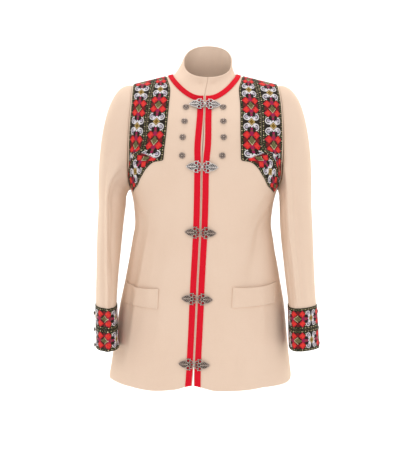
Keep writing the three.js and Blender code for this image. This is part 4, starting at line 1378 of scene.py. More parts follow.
@dataclass
class ClothBody:
    """The two fronts, the back and the stand collar."""

    body: BodyForm
    wool: bpy.types.Material
    rows_lower: int = 108
    rows_upper: int = 72
    columns: int = 76
    area_front: float = 0.165
    area_back: float = 0.335

    def spots(self, side: int, front: bool) -> tuple[Array, Array]:
        """Returns the surface coordinates of half a body panel.

        Args:
            side: -1 or 1.
            front: Whether it is a front.

        Returns:
            Angles and climbs, rows from the hem up and columns from the middle out.
        """
        body = self.body
        u = np.linspace(0, 1, self.columns + 1)
        v = np.linspace(0, 1, self.rows_upper + 1)

        def middle(z: Array) -> Array:
            """Finds the edge at the middle.

            Args:
                z: Heights.

            Returns:
                Angles.
            """
            if front:
                return body.angle_at(body.opening(z), z)
            return np.full_like(np.asarray(z, float), math.pi)

        psi = np.clip(u * 2, 0, 1) * HALF_PI
        psi = psi if front else math.pi - psi
        neck_theta, neck_climb = body.neck_spot(psi, np.full(psi.shape, front))
        x = lerp(NECK_HALF_WIDTH, body.armhole_x(side, -SHOULDER_DROP), np.clip(u * 2 - 1, 0, 1))
        phi = body.angle_at(x, body.ridge(x))
        top_theta = np.where(u <= 0.5, np.abs(neck_theta), phi if front else math.pi - phi)
        top_climb = np.where(u <= 0.5, neck_climb, ROLL_LENGTH)
        if front:
            top_theta[0] = middle(np.array(NECK_FRONT_Z))
        low_climb = UNDERARM_Z - ROLL_START_Z
        bottom_theta = lerp(middle(np.array(UNDERARM_Z)), HALF_PI, u)
        left_climb = lerp(low_climb, top_climb[0], v)
        centre_line = np.full(v.shape, 0.0 if front else math.pi)
        left_theta = middle(body.point(centre_line, left_climb)[..., 2])
        alpha = np.maximum(math.pi * (1 - v), 1e-6)
        right_theta, right_climb = body.armhole_spot(side, alpha if front else TURN - alpha)

        def coons(bottom: Array, top: Array, left: Array, right: Array) -> Array:
            """Fills a patch between four edges.

            Args:
                bottom: Values along the lower edge.
                top: Along the upper edge.
                left: Up the first edge.
                right: Up the last edge.

            Returns:
                Values of the whole patch.
            """
            uu, vv = u[None, :], v[:, None]
            corners = ((1 - uu) * (1 - vv) * bottom[0] + uu * (1 - vv) * bottom[-1]
                       + (1 - uu) * vv * top[0] + uu * vv * top[-1])
            sides = (1 - uu) * left[:, None] + uu * right[:, None]
            return (1 - vv) * bottom + vv * top + sides - corners

        upper_theta = coons(bottom_theta, top_theta, left_theta, np.abs(right_theta))
        upper_climb = coons(np.full_like(u, low_climb), top_climb, left_climb, right_climb)
        share = (np.arange(self.rows_lower) / self.rows_lower)[:, None]
        hem = body.hem(side * lerp(0.0 if front else math.pi, HALF_PI, u))[None, :]
        z = lerp(hem, UNDERARM_Z, share)
        lower_theta = lerp(middle(z), HALF_PI, u[None, :])
        theta = np.concatenate([lower_theta, upper_theta])
        climb = np.concatenate([z - ROLL_START_Z, upper_climb])
        return side * theta, climb

    def relief(self, points: Array, normals: Array, seams: Array) -> Array:
        """Turns the cloth in at its seams and its hem.

        Args:
            points: Grid of points, hem first and seam last.
            normals: Their outward normals.
            seams: Distance of each column from the nearest seam.

        Returns:
            The points moved.
        """
        up = lengths(points, 0)
        down = up[-1:] - up
        depth = edge_roll(seams, 4.5, 1.0) + edge_roll(down, 4.5, 0.8) + edge_roll(up, 3.0, 1.0)
        hemline = -0.35 * bell(up - HEM_DEPTH, 1.6)
        return points + normals * (depth + hemline)[..., None]

    def front(self, side: Side) -> bpy.types.Object:
        """Makes one front.

        Args:
            side: Which front.

        Returns:
            The piece.
        """
        theta, climb = self.spots(side.value, True)
        points = self.body.point(theta, climb)
        across = lengths(points, 1)
        points = self.relief(points, grid_normals(points, BODY_MIDDLE), across[:, -1:] - across)
        uv = np.stack([across, lengths(points, 0)], -1)
        piece = Maker.cut(f"front_{side.word}", points, uv, BODY_MIDDLE, self.wool)
        return piece

    def back(self) -> bpy.types.Object:
        """Makes the back in one piece.

        Returns:
            The piece.
        """
        halves = [self.body.point(*self.spots(side, False)) for side in (-1, 1)]
        points = np.concatenate([halves[0][:, ::-1], halves[1][:, 1:]], 1)
        across = lengths(points, 1)
        seams = np.minimum(across, across[:, -1:] - across)
        points = self.relief(points, grid_normals(points, BODY_MIDDLE), seams)
        uv = np.stack([across, lengths(points, 0)], -1)
        piece = Maker.cut("back", points, uv, BODY_MIDDLE, self.wool)
        return piece

    def collar_points(self, psi: Array, t: Array) -> Array:
        """Places points of the collar.

        Args:
            psi: Angles round the neck.
            t: 0 at the neck seam and 1 at the top edge.

        Returns:
            The points.
        """
        front = np.abs(psi) <= HALF_PI
        base = self.body.point(*self.body.neck_spot(psi, front))
        across = squared(np.sin(psi), NECK_ROUNDNESS)
        away = -squared(np.cos(psi), NECK_ROUNDNESS)
        inward = np.stack([-across, -away, np.zeros_like(across)], -1)
        y = away * COLLAR_TOP["depth"]
        x = COLLAR_TOP["lean"] + COLLAR_TOP["half_width"] * across
        top = np.stack([x, y, COLLAR_TOP["z"] + COLLAR_TOP["slope"] * y], -1)
        base = base - unit(top - base) * 1.0 + 0.4 * inward
        hollow = COLLAR_HOLLOW * np.sin(math.pi * t)
        dents = -3.2 * bell(np.abs(psi) - 0.22, 0.16) * bell(t - 0.62, 0.2)
        wave = 1.1 * np.sin(7 * psi + 1) * np.sin(math.pi * t)
        wave = wave + 0.5 * np.sin(13 * psi) * t * (1 - t) * 3
        return lerp(base, top, t[..., None]) + inward * (hollow - dents - wave)[..., None]

    def collar(self) -> bpy.types.Object:
        """Makes the stand collar.

        Returns:
            The piece.
        """
        end = math.asin((0.5 / NECK_HALF_WIDTH) ** (NECK_ROUNDNESS / 2))
        t, psi = np.meshgrid(np.linspace(0, 1, 41), round_neck(end, 193), indexing="ij")
        points = self.collar_points(psi, t)
        up = lengths(points, 0)
        normals = grid_normals(points, COLLAR_MIDDLE)
        top = up[-1:] - up
        seamline = -0.3 * bell(top - 6, 1.0)
        depth = edge_roll(up, 3.0, 0.6) + edge_roll(top, 2.5, 0.8) + seamline
        points = points + normals * depth[..., None]
        uv = np.stack([lengths(points, 1), up], -1)
        piece = Maker.cut("stand_collar", points, uv, COLLAR_MIDDLE, self.wool, 0.9)
        return piece


@dataclass
class ClothSleeves:
    """The two-piece sleeves, pressed nearly flat, hanging empty."""

    body: BodyForm
    wool: bpy.types.Material
    area_upper: float = 0.102
    area_under: float = 0.061

    def creases(self, side: int, angle: Array, way: Array) -> Array:
        """Returns how far soft folds push the sleeve out.

        Args:
            side: -1 or 1.
            angle: Angles round the sleeve.
            way: Ways up it.

        Returns:
            Depths in millimetres.
        """
        total = np.zeros(np.broadcast(angle, way).shape)
        shift = 0.12 * side
        for centre, height, wide, tall, slope, depth in SLEEVE_CREASES:
            rise = way - height - 0.06 * side
            off = (angle - centre - shift - slope * rise + math.pi) % TURN - math.pi
            total = total + depth * bell(off, wide) * bell(rise, tall)
        ripple = 0.35 * np.sin(5 * angle + 9 * way) * np.sin(3 * angle - 7 * way + side)
        edge = sum(deep * bell(angle - at, wide) for at, wide, deep in PRESSED_FRONT)
        valley = -3.0 * bell(angle - HALF_PI, 0.13) if side > 0 else 0.0
        front = lerp(valley, edge, smoothstep(way, 0.20, 0.42) if side > 0 else 1.0)
        return (total + ripple + front) * np.clip((2 - way) * 3, 0, 1)

    def piece(self, side: Side, upper: bool) -> bpy.types.Object:
        """Makes the upper or the under piece of a sleeve.

        Args:
            side: Which sleeve.
            upper: Whether it is the upper piece.

        Returns:
            The piece.
        """
        form = SleeveForm(self.body, side.value)
        ends = (-SEAM_ALPHA, SEAM_ALPHA) if upper else (SEAM_ALPHA, TURN - SEAM_ALPHA)
        alphas = np.linspace(*ends, 121 if upper else 73)
        angles = solve(lambda a: a + CAP_WARP * np.sin(a), alphas, -math.pi, TURN)
        over_cap = 1 + (1 - np.cos(np.linspace(0, HALF_PI, 61)[1:]))
        ways = np.concatenate([np.linspace(0, 1, 91), over_cap])
        angle, way = np.meshgrid(angles, ways)
        points = form.point(angle, way)
        level = np.minimum(way, 1)
        front, back = (form.point(np.full_like(way, turned), level) for turned in (0.0, math.pi))
        normals = unit(np.cross(np.gradient(points, axis=1), np.gradient(points, axis=0)))
        facing = np.sum((normals * (points - (front + back) / 2))[:80])
        normals = normals * (1.0 if facing > 0 else -1.0)
        across = lengths(points, 1)
        up = lengths(points, 0)
        seams = np.minimum(across, across[:, -1:] - across)
        depth = self.creases(side.value, angle, way) + edge_roll(seams, 3.5, 0.7)
        depth = depth + edge_roll(up[-1:] - up, 4.5, 1.1)
        points = points + normals * depth[..., None]
        points[-1, :, 0] += side.value * 0.3
        name = f"sleeve_{'upper' if upper else 'under'}_{side.word}"
        uv = np.stack([across, up], -1)
        piece = Maker.cut(name, points, uv, form.middle_at(0.5), self.wool)
        return piece


@dataclass
class Trim:
    """Braids, woven ribbons and pocket welts sewn on the cloth."""

    body: BodyForm
    wool: bpy.types.Material
    braid: bpy.types.Material
    ribbon: bpy.types.Material
    edge_curve: tuple[Array, Array] = field(init=False)

    def __post_init__(self) -> None:
        """Works out how far the neck braid reaches at each height."""
        psi = np.linspace(0, HALF_PI, 60)
        edge = self.body.point(*self.body.below_neck(psi, self.neck_width(psi) + 1.0))
        self.edge_curve = (edge[:, 2], edge[:, 0])

    @staticmethod
    def neck_width(psi: Array) -> Array:
        """Returns the neck braid's width at an angle round the neck."""
        return lerp(BRAID_WIDTH, BRAID_AT_SHOULDER, smoothstep(np.abs(psi), 0.6, HALF_PI))

    def lay(self, node: str, kind: str, theta: Array, climb: Array, uv: Array, thick: float,
            material: bpy.types.Material, slot: str, crown: Array | float = 0.0,
            **mitre: Array | int) -> bpy.types.Object:
        """Lays a flat trim on the body.

        Args:
            node: The node it stands for.
            kind: The last word of its name.
            theta: Angles of its grid.
            climb: Climbs of its grid.
            uv: Its map in millimetres.
            thick: Its thickness.
            material: Its finish.
            slot: Its material slot, passed on to Maker.finish.
            crown: Extra height of each point.
            mitre: Map and first row of the part after a mitre.

        Returns:
            The piece.
        """
        normals = self.body.normal(theta, climb)
        height = LIFT + thick + np.asarray(crown)
        points = self.body.point(theta, climb) + normals * height[..., None]
        mesh = Maker.sheet(points, uv, TRIM_MIDDLE, **mitre)
        piece = Maker.finish(f"{node}_{kind}", mesh, material, slot, [node])
        Maker.thicken(piece, thick, TRIM_ROUNDING)
        return piece

    def plait(self, across: Array, along: Array, width: Array | float) -> Array:
        """Works out the height of the braid's strands.

        Args:
            across: Place across the braid.
            along: Place along it.
            width: Its width.

        Returns:
            Heights in millimetres.
        """
        column = np.abs((across / width * 4) % 2 - 1)
        strand = np.abs(np.sin((along + column * width * 0.22) * math.pi / STRAND))
        edge = 1 - np.clip(np.abs(across / width - 0.5) * 2, 0, 1) ** 6
        return (0.42 * strand + 0.25 * np.sin(column * math.pi)) * edge - 0.35 * (1 - edge)

    def neck_braid(self) -> bpy.types.Object:
        """Makes the braid round the neck seam.

        Returns:
            The piece.
        """
        psi = round_neck(math.radians(1.3), 421)
        share, psi = np.meshgrid(np.linspace(0, 1, 13), psi, indexing="ij")
        width = self.neck_width(psi)
        theta, climb = self.body.below_neck(psi, 0.6 + (width - 0.6) * share)
        along = lengths(self.body.point(theta, climb), 1)
        across = share * width
        uv, crown = np.stack([across, along], -1), self.plait(across, along, width) - 0.4
        piece = self.lay("neck_braid", "plaited", theta, climb, uv, BRAID_THICK, self.braid,
                         "red_braid", crown)
        return piece

    def front_braid(self, side: Side) -> bpy.types.Object:
        """Makes the braid down one front edge.

        Args:
            side: Which front.

        Returns:
            The piece.
        """
        sign = side.value
        spot = self.body.below_neck(np.array(0.0), np.array(BRAID_WIDTH + 1.5))
        top = self.body.point(*spot)[..., 2]
        share, level = np.meshgrid(np.linspace(0, 1, 15), np.linspace(0, 1, 521))
        (inset,) = columns(BRAID_INSETS)
        away = FRONT_BRAID * share
        foot = self.body.opening(HEM_Z) + inset(HEM_Z) + away
        low = self.body.hem(sign * self.body.angle_at(foot, HEM_Z)) + 0.5
        z = lerp(low, top, level)
        x = self.body.opening(z) + inset(z) + away
        theta = sign * self.body.angle_at(x, z)
        climb = self.body.climb_at(theta, z)
        along = lengths(self.body.point(theta, climb), 0)
        across = share * FRONT_BRAID
        uv, crown = np.stack([across, along], -1), self.plait(across, along, FRONT_BRAID) - 0.4
        piece = self.lay(f"front_braid_{side.word}", "plaited", theta, climb, uv, BRAID_THICK,
                         self.braid, "red_braid", crown)
        return piece

    def yoke_edge(self, side: int, x: Array, z: Array) -> tuple[Curve, Curve]:
        """Follows one edge of a shoulder ribbon.

        Args:
            side: -1 or 1.
            x: Its distances from the middle.
            z: Its heights.

        Returns:
            Angle and climb along the edge.
        """
        reach = np.interp(z, *self.edge_curve, left=0.0)
        free = np.maximum(np.minimum(x, self.body.armhole_x(side, z) - YOKE_INSET), reach)
        theta = self.body.angle_at(free, z)
        climb = np.where(z >= self.body.ridge(free), ROLL_LENGTH, self.body.climb_at(theta, z))
        rows = np.arange(len(z))
        return Curve(rows, theta), Curve(rows, climb)

    def shoulder_ribbon(self, side: Side, outer: bool) -> bpy.types.Object:
        """Makes one of the two ribbons on a shoulder, mitred towards the underarm.

        Args:
            side: Which shoulder.
            outer: Whether it is the ribbon next to the sleeve.

        Returns:
            The piece.
        """
        sign = side.value
        table = np.array(YOKE_ROWS, float).T
        armhole = self.body.armhole_x(sign, table[4])
        edges = (
            self.yoke_edge(sign, table[0], table[1]), self.yoke_edge(sign, table[2], table[3]),
            self.yoke_edge(sign, armhole, table[4]),
        )
        near, far = edges[int(outer)], edges[int(outer) + 1]
        per_row = 12
        row = np.linspace(0, len(YOKE_ROWS) - 1, (len(YOKE_ROWS) - 1) * per_row + 1)[:, None]
        share = np.linspace(0.012, 0.988, 25)[None, :]
        theta = sign * lerp(near[0](row), far[0](row), share)
        climb = lerp(near[1](row), far[1](row), share)
        points = self.body.point(theta, climb)
        mitre = MITRE_ROW * per_row
        start = points[mitre, 0]
        along = lengths(points, 0)[:, :1]
        down = unit(np.gradient(points[:, 0], axis=0))
        down[:mitre] = unit(points[mitre] - points[mitre // 3])[0]
        slant = unit(points[-1, 0] - start)
        offset = points - points[:, :1]
        upper_v = along + np.sum(offset * down[:, None], -1)
        lower_v = along[mitre] + np.sum((points - start) * slant, -1)
        u = np.broadcast_to(share * RIBBON_WIDTH, upper_v.shape)
        scale, phase = RIBBON_REPEAT / YOKE_REPEAT, YOKE_STARTS[int(outer)]
        upper = np.stack([u, (upper_v - phase) * scale], -1)
        lower = np.stack([u, (lower_v - phase + YOKE_SLIP) * scale], -1)
        name = f"shoulder_ribbon_{'outer' if outer else 'inner'}_{side.word}"
        piece = self.lay(name, "woven", theta, climb, upper, RIBBON_THICK, self.ribbon,
                         "woven_ribbon", lower_uv=lower, mitre=mitre)
        return piece

    def cuff_ribbon(self, side: Side, upper: bool) -> bpy.types.Object:
        """Makes one ribbon round the end of a sleeve.

        Args:
            side: Which sleeve.
            upper: Whether it is the higher ribbon.

        Returns:
            The piece.
        """
        form = SleeveForm(self.body, side.value)
        low = CUFF_RIBBON + CUFF_GAP if upper else 0.0
        high = 2 * CUFF_RIBBON if upper else CUFF_RIBBON
        angle, rise = np.meshgrid(np.linspace(-math.pi, math.pi, 181), np.linspace(low, high, 25))
        way = rise / (TUBE_TOP_Z - WRIST_Z)
        points = form.point(angle, way)
        normals = form.normal(angle, way)
        folds = ClothSleeves(self.body, self.wool).creases(side.value, angle, way)
        along = lengths(points, 1)
        front = slice(149, 89, -1)
        flower_x = side.value * CUFF_FLOWER_X[side.value]
        start = np.interp(flower_x, side.value * points[12, front, 0], along[12, front])
        points = points + normals * (folds + LIFT + RIBBON_THICK)[..., None]
        circumference = along[:, -1:]
        scale = RIBBON_REPEAT * np.round(circumference / RIBBON_REPEAT) / circumference
        uv = np.stack([rise - low, (along - start) * scale], -1)
        mesh = Maker.sheet(points, uv, form.middle_at(0.1), wrapped=True)
        name = f"cuff_ribbon_{'upper' if upper else 'lower'}_{side.word}"
        piece = Maker.finish(f"{name}_woven", mesh, self.ribbon, "woven_ribbon", [name])
        Maker.thicken(piece, RIBBON_THICK, TRIM_ROUNDING)
        return piece

    def welt_spots(self, side: Side, across: Array, up: Array) -> tuple[Array, Array]:
        """Returns points of a pocket welt and how far they stand off the body.

        Args:
            side: Which pocket.
            across: 0 at the inner end, 1 at the side seam end.
            up: 0 at the bottom, 1 at the top edge.

        Returns:
            Points of the body surface and heights above it.
        """
        inner, outer, top_inner, top_outer = POCKETS[side.value]
        top = lerp(top_inner, top_outer, across)
        sag = 4.5 * np.sin(math.pi * across) * up**3
        x = side.value * lerp(inner, outer, across)
        gape = POCKET_GAPE * up**2.4 * np.maximum(np.sin(math.pi * across), 0) ** 0.8
        return np.stack([x, top - WELT_HEIGHT * (1 - up) - sag], -1), gape

    def pocket_welt(self, side: Side) -> bpy.types.Object:
        """Makes one pocket welt.

        Args:
            side: Which pocket.

        Returns:
            The piece.
        """
        up, across = np.meshgrid(np.linspace(0, 1, 25), np.linspace(0, 1, 49), indexing="ij")
        place, gape = self.welt_spots(side, across, up)
        edge = np.minimum(np.minimum(across, 1 - across) * WELT_LENGTH, up * WELT_HEIGHT)
        quilting = -0.5 * bell(edge - 3.0, 1.1)
        height = LIFT + CLOTH + gape + edge_roll(edge, 2.0, 0.5) + quilting
        points = self.body.front_spot(place[..., 0], place[..., 1], height)
        uv = np.stack([across * WELT_LENGTH, up * WELT_HEIGHT], -1)
        piece = Maker.cut(f"pocket_welt_{side.word}", points, uv, POCKET_MIDDLE, self.wool)
        return piece


@dataclass
class Stitching:
    """Rows of small stitches in cream thread, one piece for each row."""

    body: BodyForm
    thread: bpy.types.Material
    pitch: float = 4.2
    length: float = 2.9
    radius: float = 0.28

    def row(self, name: str, path: Array, normals: Array) -> bpy.types.Object:
        """Sews one row.

        Args:
            name: The piece's name.
            path: Points along the row, on the cloth's face.
            normals: Outward normals of the cloth there.

        Returns:
            The piece.
        """
        along = lengths(path, 0)
        mesh = bmesh.new()
        for start in np.arange(self.pitch, along[-1] - self.pitch, self.pitch):
            at = start + np.linspace(0, self.length, 4)
            spots = np.stack([np.interp(at, along, path[:, k]) for k in range(3)], -1)
            out = np.stack([np.interp(at, along, normals[:, k]) for k in range(3)], -1)
            rise = np.array([-0.25, 0.12, 0.12, -0.25])
            Maker.tube(mesh, (spots + out * rise[:, None]) * MM, self.radius * MM, 5)
        return Maker.finish(name, mesh, self.thread, "wool")

    def on_welt(self, trim: Trim, side: Side) -> bpy.types.Object:
        """Sews the sides and the bottom of a pocket welt.

        Args:
            trim: The trim that knows the welt.
            side: Which pocket.

        Returns:
            The piece.
        """
        inset_x, inset_z = 3.0 / WELT_LENGTH, 3.0 / WELT_HEIGHT
        down, flat = np.linspace(0.97, inset_z, 24), np.linspace(inset_x, 1 - inset_x, 60)
        across = np.concatenate([np.full(24, inset_x), flat, np.full(24, 1 - inset_x)])
        up = np.concatenate([down, np.full(60, inset_z), down[::-1]])
        place, gape = trim.welt_spots(side, across, up)
        height = LIFT + CLOTH + gape - 0.35
        points = self.body.front_spot(place[:, 0], place[:, 1], height)
        above = self.body.front_spot(place[:, 0], place[:, 1], height + 1)
        return self.row(f"welt_stitches_{side.word}", points, unit(above - points))


@dataclass
class Metalwork:
    """Openwork clasps and domed buttons."""

    body: BodyForm
    pewter: bpy.types.Material
    dark_pewter: bpy.types.Material

    def frame_at(self, x: float, z: float, lift: float) -> Matrix:
        """Returns the place of something that lies on the front, in metres.

        Args:
            x: Distance from centre front.
            z: Height.
            lift: Height above the cloth.

        Returns:
            A matrix whose third axis points out of the cloth.
        """
        spot = Vector(self.body.front_spot(x, z, 0.0))
        out = (Vector(self.body.front_spot(x, z, 1.0)) - spot).normalized()
        below, above = (Vector(self.body.front_spot(x, z + step, 0.0)) for step in (-4, 4))
        above = above - below
        up = (above - out * above.dot(out)).normalized()
        across = up.cross(out).normalized()
        turn = Matrix((across, up, out)).transposed().to_4x4()
        return Matrix.Translation((spot + out * lift) * MM) @ turn

    @staticmethod
    def scroll(row: Sequence[float], mirror: int) -> tuple[Array, Array]:
        """Winds a flat spiral of wire in towards its centre.

        Args:
            row: One row of the table of scrolls.
            mirror: 1, or -1 below the middle line.

        Returns:
            Its path and its radii, in millimetres.
        """
        x, y, radius, start, turns, thick, thin = row
        t = np.linspace(0, 1, 30)
        angle = start + turns * TURN * t
        reach = radius * (1 - 0.42 * t)
        across, up = x + reach * np.cos(angle), (y + reach * np.sin(angle)) * mirror
        return np.stack([across, up, np.full_like(t, 1.1)], -1), np.linspace(thick, thin, 30)

    @staticmethod
    def outline_at(table: Sequence[Sequence[float]], share: Array | float) -> list[Array]:
        """Returns x and y along an outline, at places counted in its points."""
        return [np.interp(share, range(len(table)), column) for column in zip(*table)]

    def leaf_plate(self, mesh: bmesh.types.BMesh) -> None:
        """Adds the cast leaf between the scrolls and the tip.

        Args:
            mesh: The bmesh to add to.
        """
        made = bmesh.ops.create_circle(mesh, cap_ends=True, segments=24, radius=1.0)
        for vertex in made["verts"]:
            share = abs(math.atan2(vertex.co.y, -vertex.co.x)) / math.pi * (len(LEAF_OUTLINE) - 1)
            x, y = self.outline_at(LEAF_OUTLINE, share)
            vertex.co = Vector((x, math.copysign(y, vertex.co.y), 0.2)) * MM
        bottom = {face for vertex in made["verts"] for face in vertex.link_faces}
        grown = bmesh.ops.extrude_face_region(mesh, geom=list(bottom), use_keep_orig=True)
        top = [item for item in grown["geom"] if isinstance(item, bmesh.types.BMVert)]
        bmesh.ops.translate(mesh, verts=top, vec=(0, 0, 0.8 * MM))

    @staticmethod
    def discs(mesh: bmesh.types.BMesh, table: Sequence[Sequence[float]], low: float,
              high: float) -> None:
        """Adds low round plates on both sides of the middle line, some with a hole.

        Args:
            mesh: The bmesh to add to.
            table: Middles, radii and radii of the holes, in millimetres.
            low: Their underside.
            high: Their face.
        """
        for x, y, radius, hole in table:
            for mirror in (-1, 1):
                middle = Vector((x, y * mirror, 0.0)) * MM
                profile = [(hole, low), (radius, low), (radius * 0.94, high), (hole, high)]
                verts = [mesh.verts.new(middle + Vector((out, 0, up)) * MM) for out, up in profile]
                pairs = list(zip(verts, verts[1:])) + ([(verts[3], verts[0])] if hole else [])
                edges = [mesh.edges.new(pair) for pair in pairs]
                bmesh.ops.spin(mesh, geom=verts + edges, cent=middle, axis=(0, 0, 1),
                               angle=TURN, steps=18, use_merge=True)
        bmesh.ops.remove_doubles(mesh, verts=mesh.verts, dist=1e-7)
        bmesh.ops.recalc_face_normals(mesh, faces=mesh.faces)

    def hook_or_eye(self, hooked: bool) -> tuple[Array, float]:
        """Winds the wire that meets the other half.

        Args:
            hooked: Whether it is the hook.

        Returns:
            Its path in millimetres and its radius.
        """
        if hooked:
            t = np.linspace(0, 1, 18)
            rise = 1.0 + 0.9 * np.sin(math.pi * t)
            x, y = 3.4 - 5.4 * np.sin(math.pi * t), -1.9 * np.cos(math.pi * t)
            return np.stack([x, y, rise], -1), 0.8
        t = np.linspace(0, TURN, 28)
        return np.stack([0.6 + 2.5 * np.cos(t), 3.7 * np.sin(t), np.full(28, 0.8)], -1), 0.75

    def clasp_half(self, index: int, hooked: bool) -> bpy.types.Object:
        """Makes one openwork clasp half of scrolls, a ribbed leaf and beads.

        Args:
            index: Which pair, from the top.
            hooked: Whether it is the half with the hook.

        Returns:
            The piece.
        """
        lift = CLASP_LIFT if index else TOP_CLASP_LIFT
        place = self.frame_at(CLASP_MIDDLE_X, CLASP_ZS[index], lift)
        if hooked:
            place = place @ Matrix.Rotation(math.pi, 4, "Z")
        mesh = bmesh.new()
        layer = mesh.verts.layers.float.new("relief")
        # The plates are coloured dark, patina and painted shade under the wires.
        self.discs(mesh, CLASP_DISCS, 0.2, 1.0)
        for vertex in mesh.verts:
            vertex[layer] = 0.12
        plates = set(mesh.verts)
        # The cast leaf's plate is coloured dark as well, patina and painted shade.
        self.leaf_plate(mesh)
        for vertex in set(mesh.verts) - plates:
            vertex[layer] = 0.16
        # The pits keep no relief and come out darkest, a painted shade of hollows.
        self.discs(mesh, CLASP_PITS, 0.6, 1.15)
        flat = set(mesh.verts)
        wires = [self.hook_or_eye(hooked)]
        for mirror in (-1, 1):
            wires += [self.scroll(row, mirror) for row in CLASP_SCROLLS]
            x, y = self.outline_at(LEAF_RIM, np.linspace(0, len(LEAF_RIM) - 1, 26))
            rim = np.stack([x, y * mirror, np.full(26, 1.2)], -1)
            rim[1:-1] = (rim[:-2] + rim[1:-1] * 2 + rim[2:]) / 4
            wires.append((rim, np.linspace(0.75, 0.6, 26)))
            t = np.linspace(0, 1, 7)
            for root, reach in LEAF_VEINS:
                up, rise = mirror * (0.6 + reach * t**0.8), 1.2 + 0.5 * np.sin(math.pi * t)
                wires.append((np.stack([root + 3.4 * t, up, rise], -1), 0.5))
        rise = 1.3 + 0.6 * np.sin(np.linspace(0, math.pi, 18))
        rib = np.stack([np.linspace(14, 34, 18), np.zeros(18), rise], -1)
        wires.append((rib, np.linspace(0.85, 0.55, 18)))
        for path, radius in wires:
            Maker.tube(mesh, path * MM, np.asarray(radius) * MM, 6)
        for x, y, size in CLASP_BEADS:
            for mirror in (-1, 1) if y else (1,):
                Maker.ball(mesh, Vector((x, y * mirror, 1.3)) * MM, size * MM, 0.8)
        # Wires and beads grow brighter the higher they stand: rubbed high parts with a painted
        # highlight on their outward tops.
        for vertex in set(mesh.verts) - flat:
            vertex[layer] = float(np.clip((vertex.co.z / MM - 0.9) / 1.0, 0.05, 1))
        for vertex in mesh.verts:
            vertex.co.z -= CLASP_BEND * max(vertex.co.x / MM - 14, 0) ** 2 * MM
        bmesh.ops.transform(mesh, matrix=place, verts=mesh.verts)
        name = f"clasp_{'hook' if hooked else 'eye'}_{index + 1}"
        finish = self.pewter if index < SHINY_CLASPS else self.dark_pewter
        return Maker.finish(f"{name}_scrollwork", mesh, finish, "pewter", [name])

    def button(self, name: str, place: Matrix, radius: float, height: float) -> bpy.types.Object:
        """Makes a domed button with a petalled rim and a beaded ring.

        Args:
            name: Its node.
            place: Where it is, its axis being the third.
            radius: In millimetres.
            height: In millimetres.

        Returns:
            The piece.
        """
        mesh = bmesh.new()
        verts = [mesh.verts.new((r * radius * MM, 0, h * height * MM)) for r, h in BUTTON_PROFILE]
        edges = [mesh.edges.new(pair) for pair in zip(verts, verts[1:])]
        bmesh.ops.spin(mesh, geom=verts + edges, cent=(0, 0, 0), axis=(0, 0, 1),
                       angle=TURN, steps=48, use_merge=True)
        bmesh.ops.remove_doubles(mesh, verts=mesh.verts, dist=1e-7)
        bmesh.ops.recalc_face_normals(mesh, faces=mesh.faces)
        layer = mesh.verts.layers.float.new("relief")
        for vertex in mesh.verts:
            reach = math.hypot(vertex.co.x, vertex.co.y) / (radius * MM)
            angle = math.atan2(vertex.co.y, vertex.co.x)
            top = vertex.co.z > height * MM * 0.5
            petal = 0.5 + 0.5 * math.cos(8 * angle)
            ring = float(bell(reach - 0.72, 0.16))
            core = float(bell(reach, 0.2))
            rim = float(reach > 0.93)
            groove = float(bell(reach - 0.42, 0.07))
            if top:
                vertex.co.z += (0.09 * petal * ring - 0.04 * groove) * height * MM
            # The petals, the ring and the rim are rubbed bright, and the middle of the dome gets a
            # painted highlight; the lower half is dark, patina and painted shade.
            rubbed_and_highlit = 0.12 + 0.75 * petal * ring + 0.8 * core + 0.55 * rim
            vertex[layer] = min(1.0, rubbed_and_highlit) if top else 0.1
        bmesh.ops.transform(mesh, matrix=place, verts=mesh.verts)
        return Maker.finish(f"{name}_domed", mesh, self.dark_pewter, "pewter", [name])

    def front_buttons(self, side: Side) -> list[bpy.types.Object]:
        """Makes the four buttons beside one front edge.

        Args:
            side: Which front.

        Returns:
            The pieces.
        """
        made = []
        for index, (z, x) in enumerate(FRONT_BUTTONS):
            place = self.frame_at(side.value * x, z, 0.3)
            made.append(self.button(f"front_button_{side.word}_{index + 1}", place, *FRONT_BUTTON))
        return made

    def cuff_buttons(self, side: Side) -> list[bpy.types.Object]:
        """Makes the three buttons of one cuff.

        Args:
            side: Which cuff.

        Returns:
            The pieces.
        """
        form = SleeveForm(self.body, side.value)
        made = []
        for index, z in enumerate(CUFF_BUTTON_ZS):
            angle = np.array([-0.1 if side is Side.RIGHT else -0.5])
            way = np.array([(z - WRIST_Z) / (TUBE_TOP_Z - WRIST_Z)])
            out = Vector(form.normal(angle, way)[0])
            spot = Vector(form.point(angle, way)[0]) + out * (0.9 + RIBBON_THICK + 0.3)
            turn = out.to_track_quat("Z", "Y").to_matrix().to_4x4()
            place = Matrix.Translation(spot * MM) @ turn
            made.append(self.button(f"cuff_button_{side.word}_{index + 1}", place, *CUFF_BUTTON))
        return made


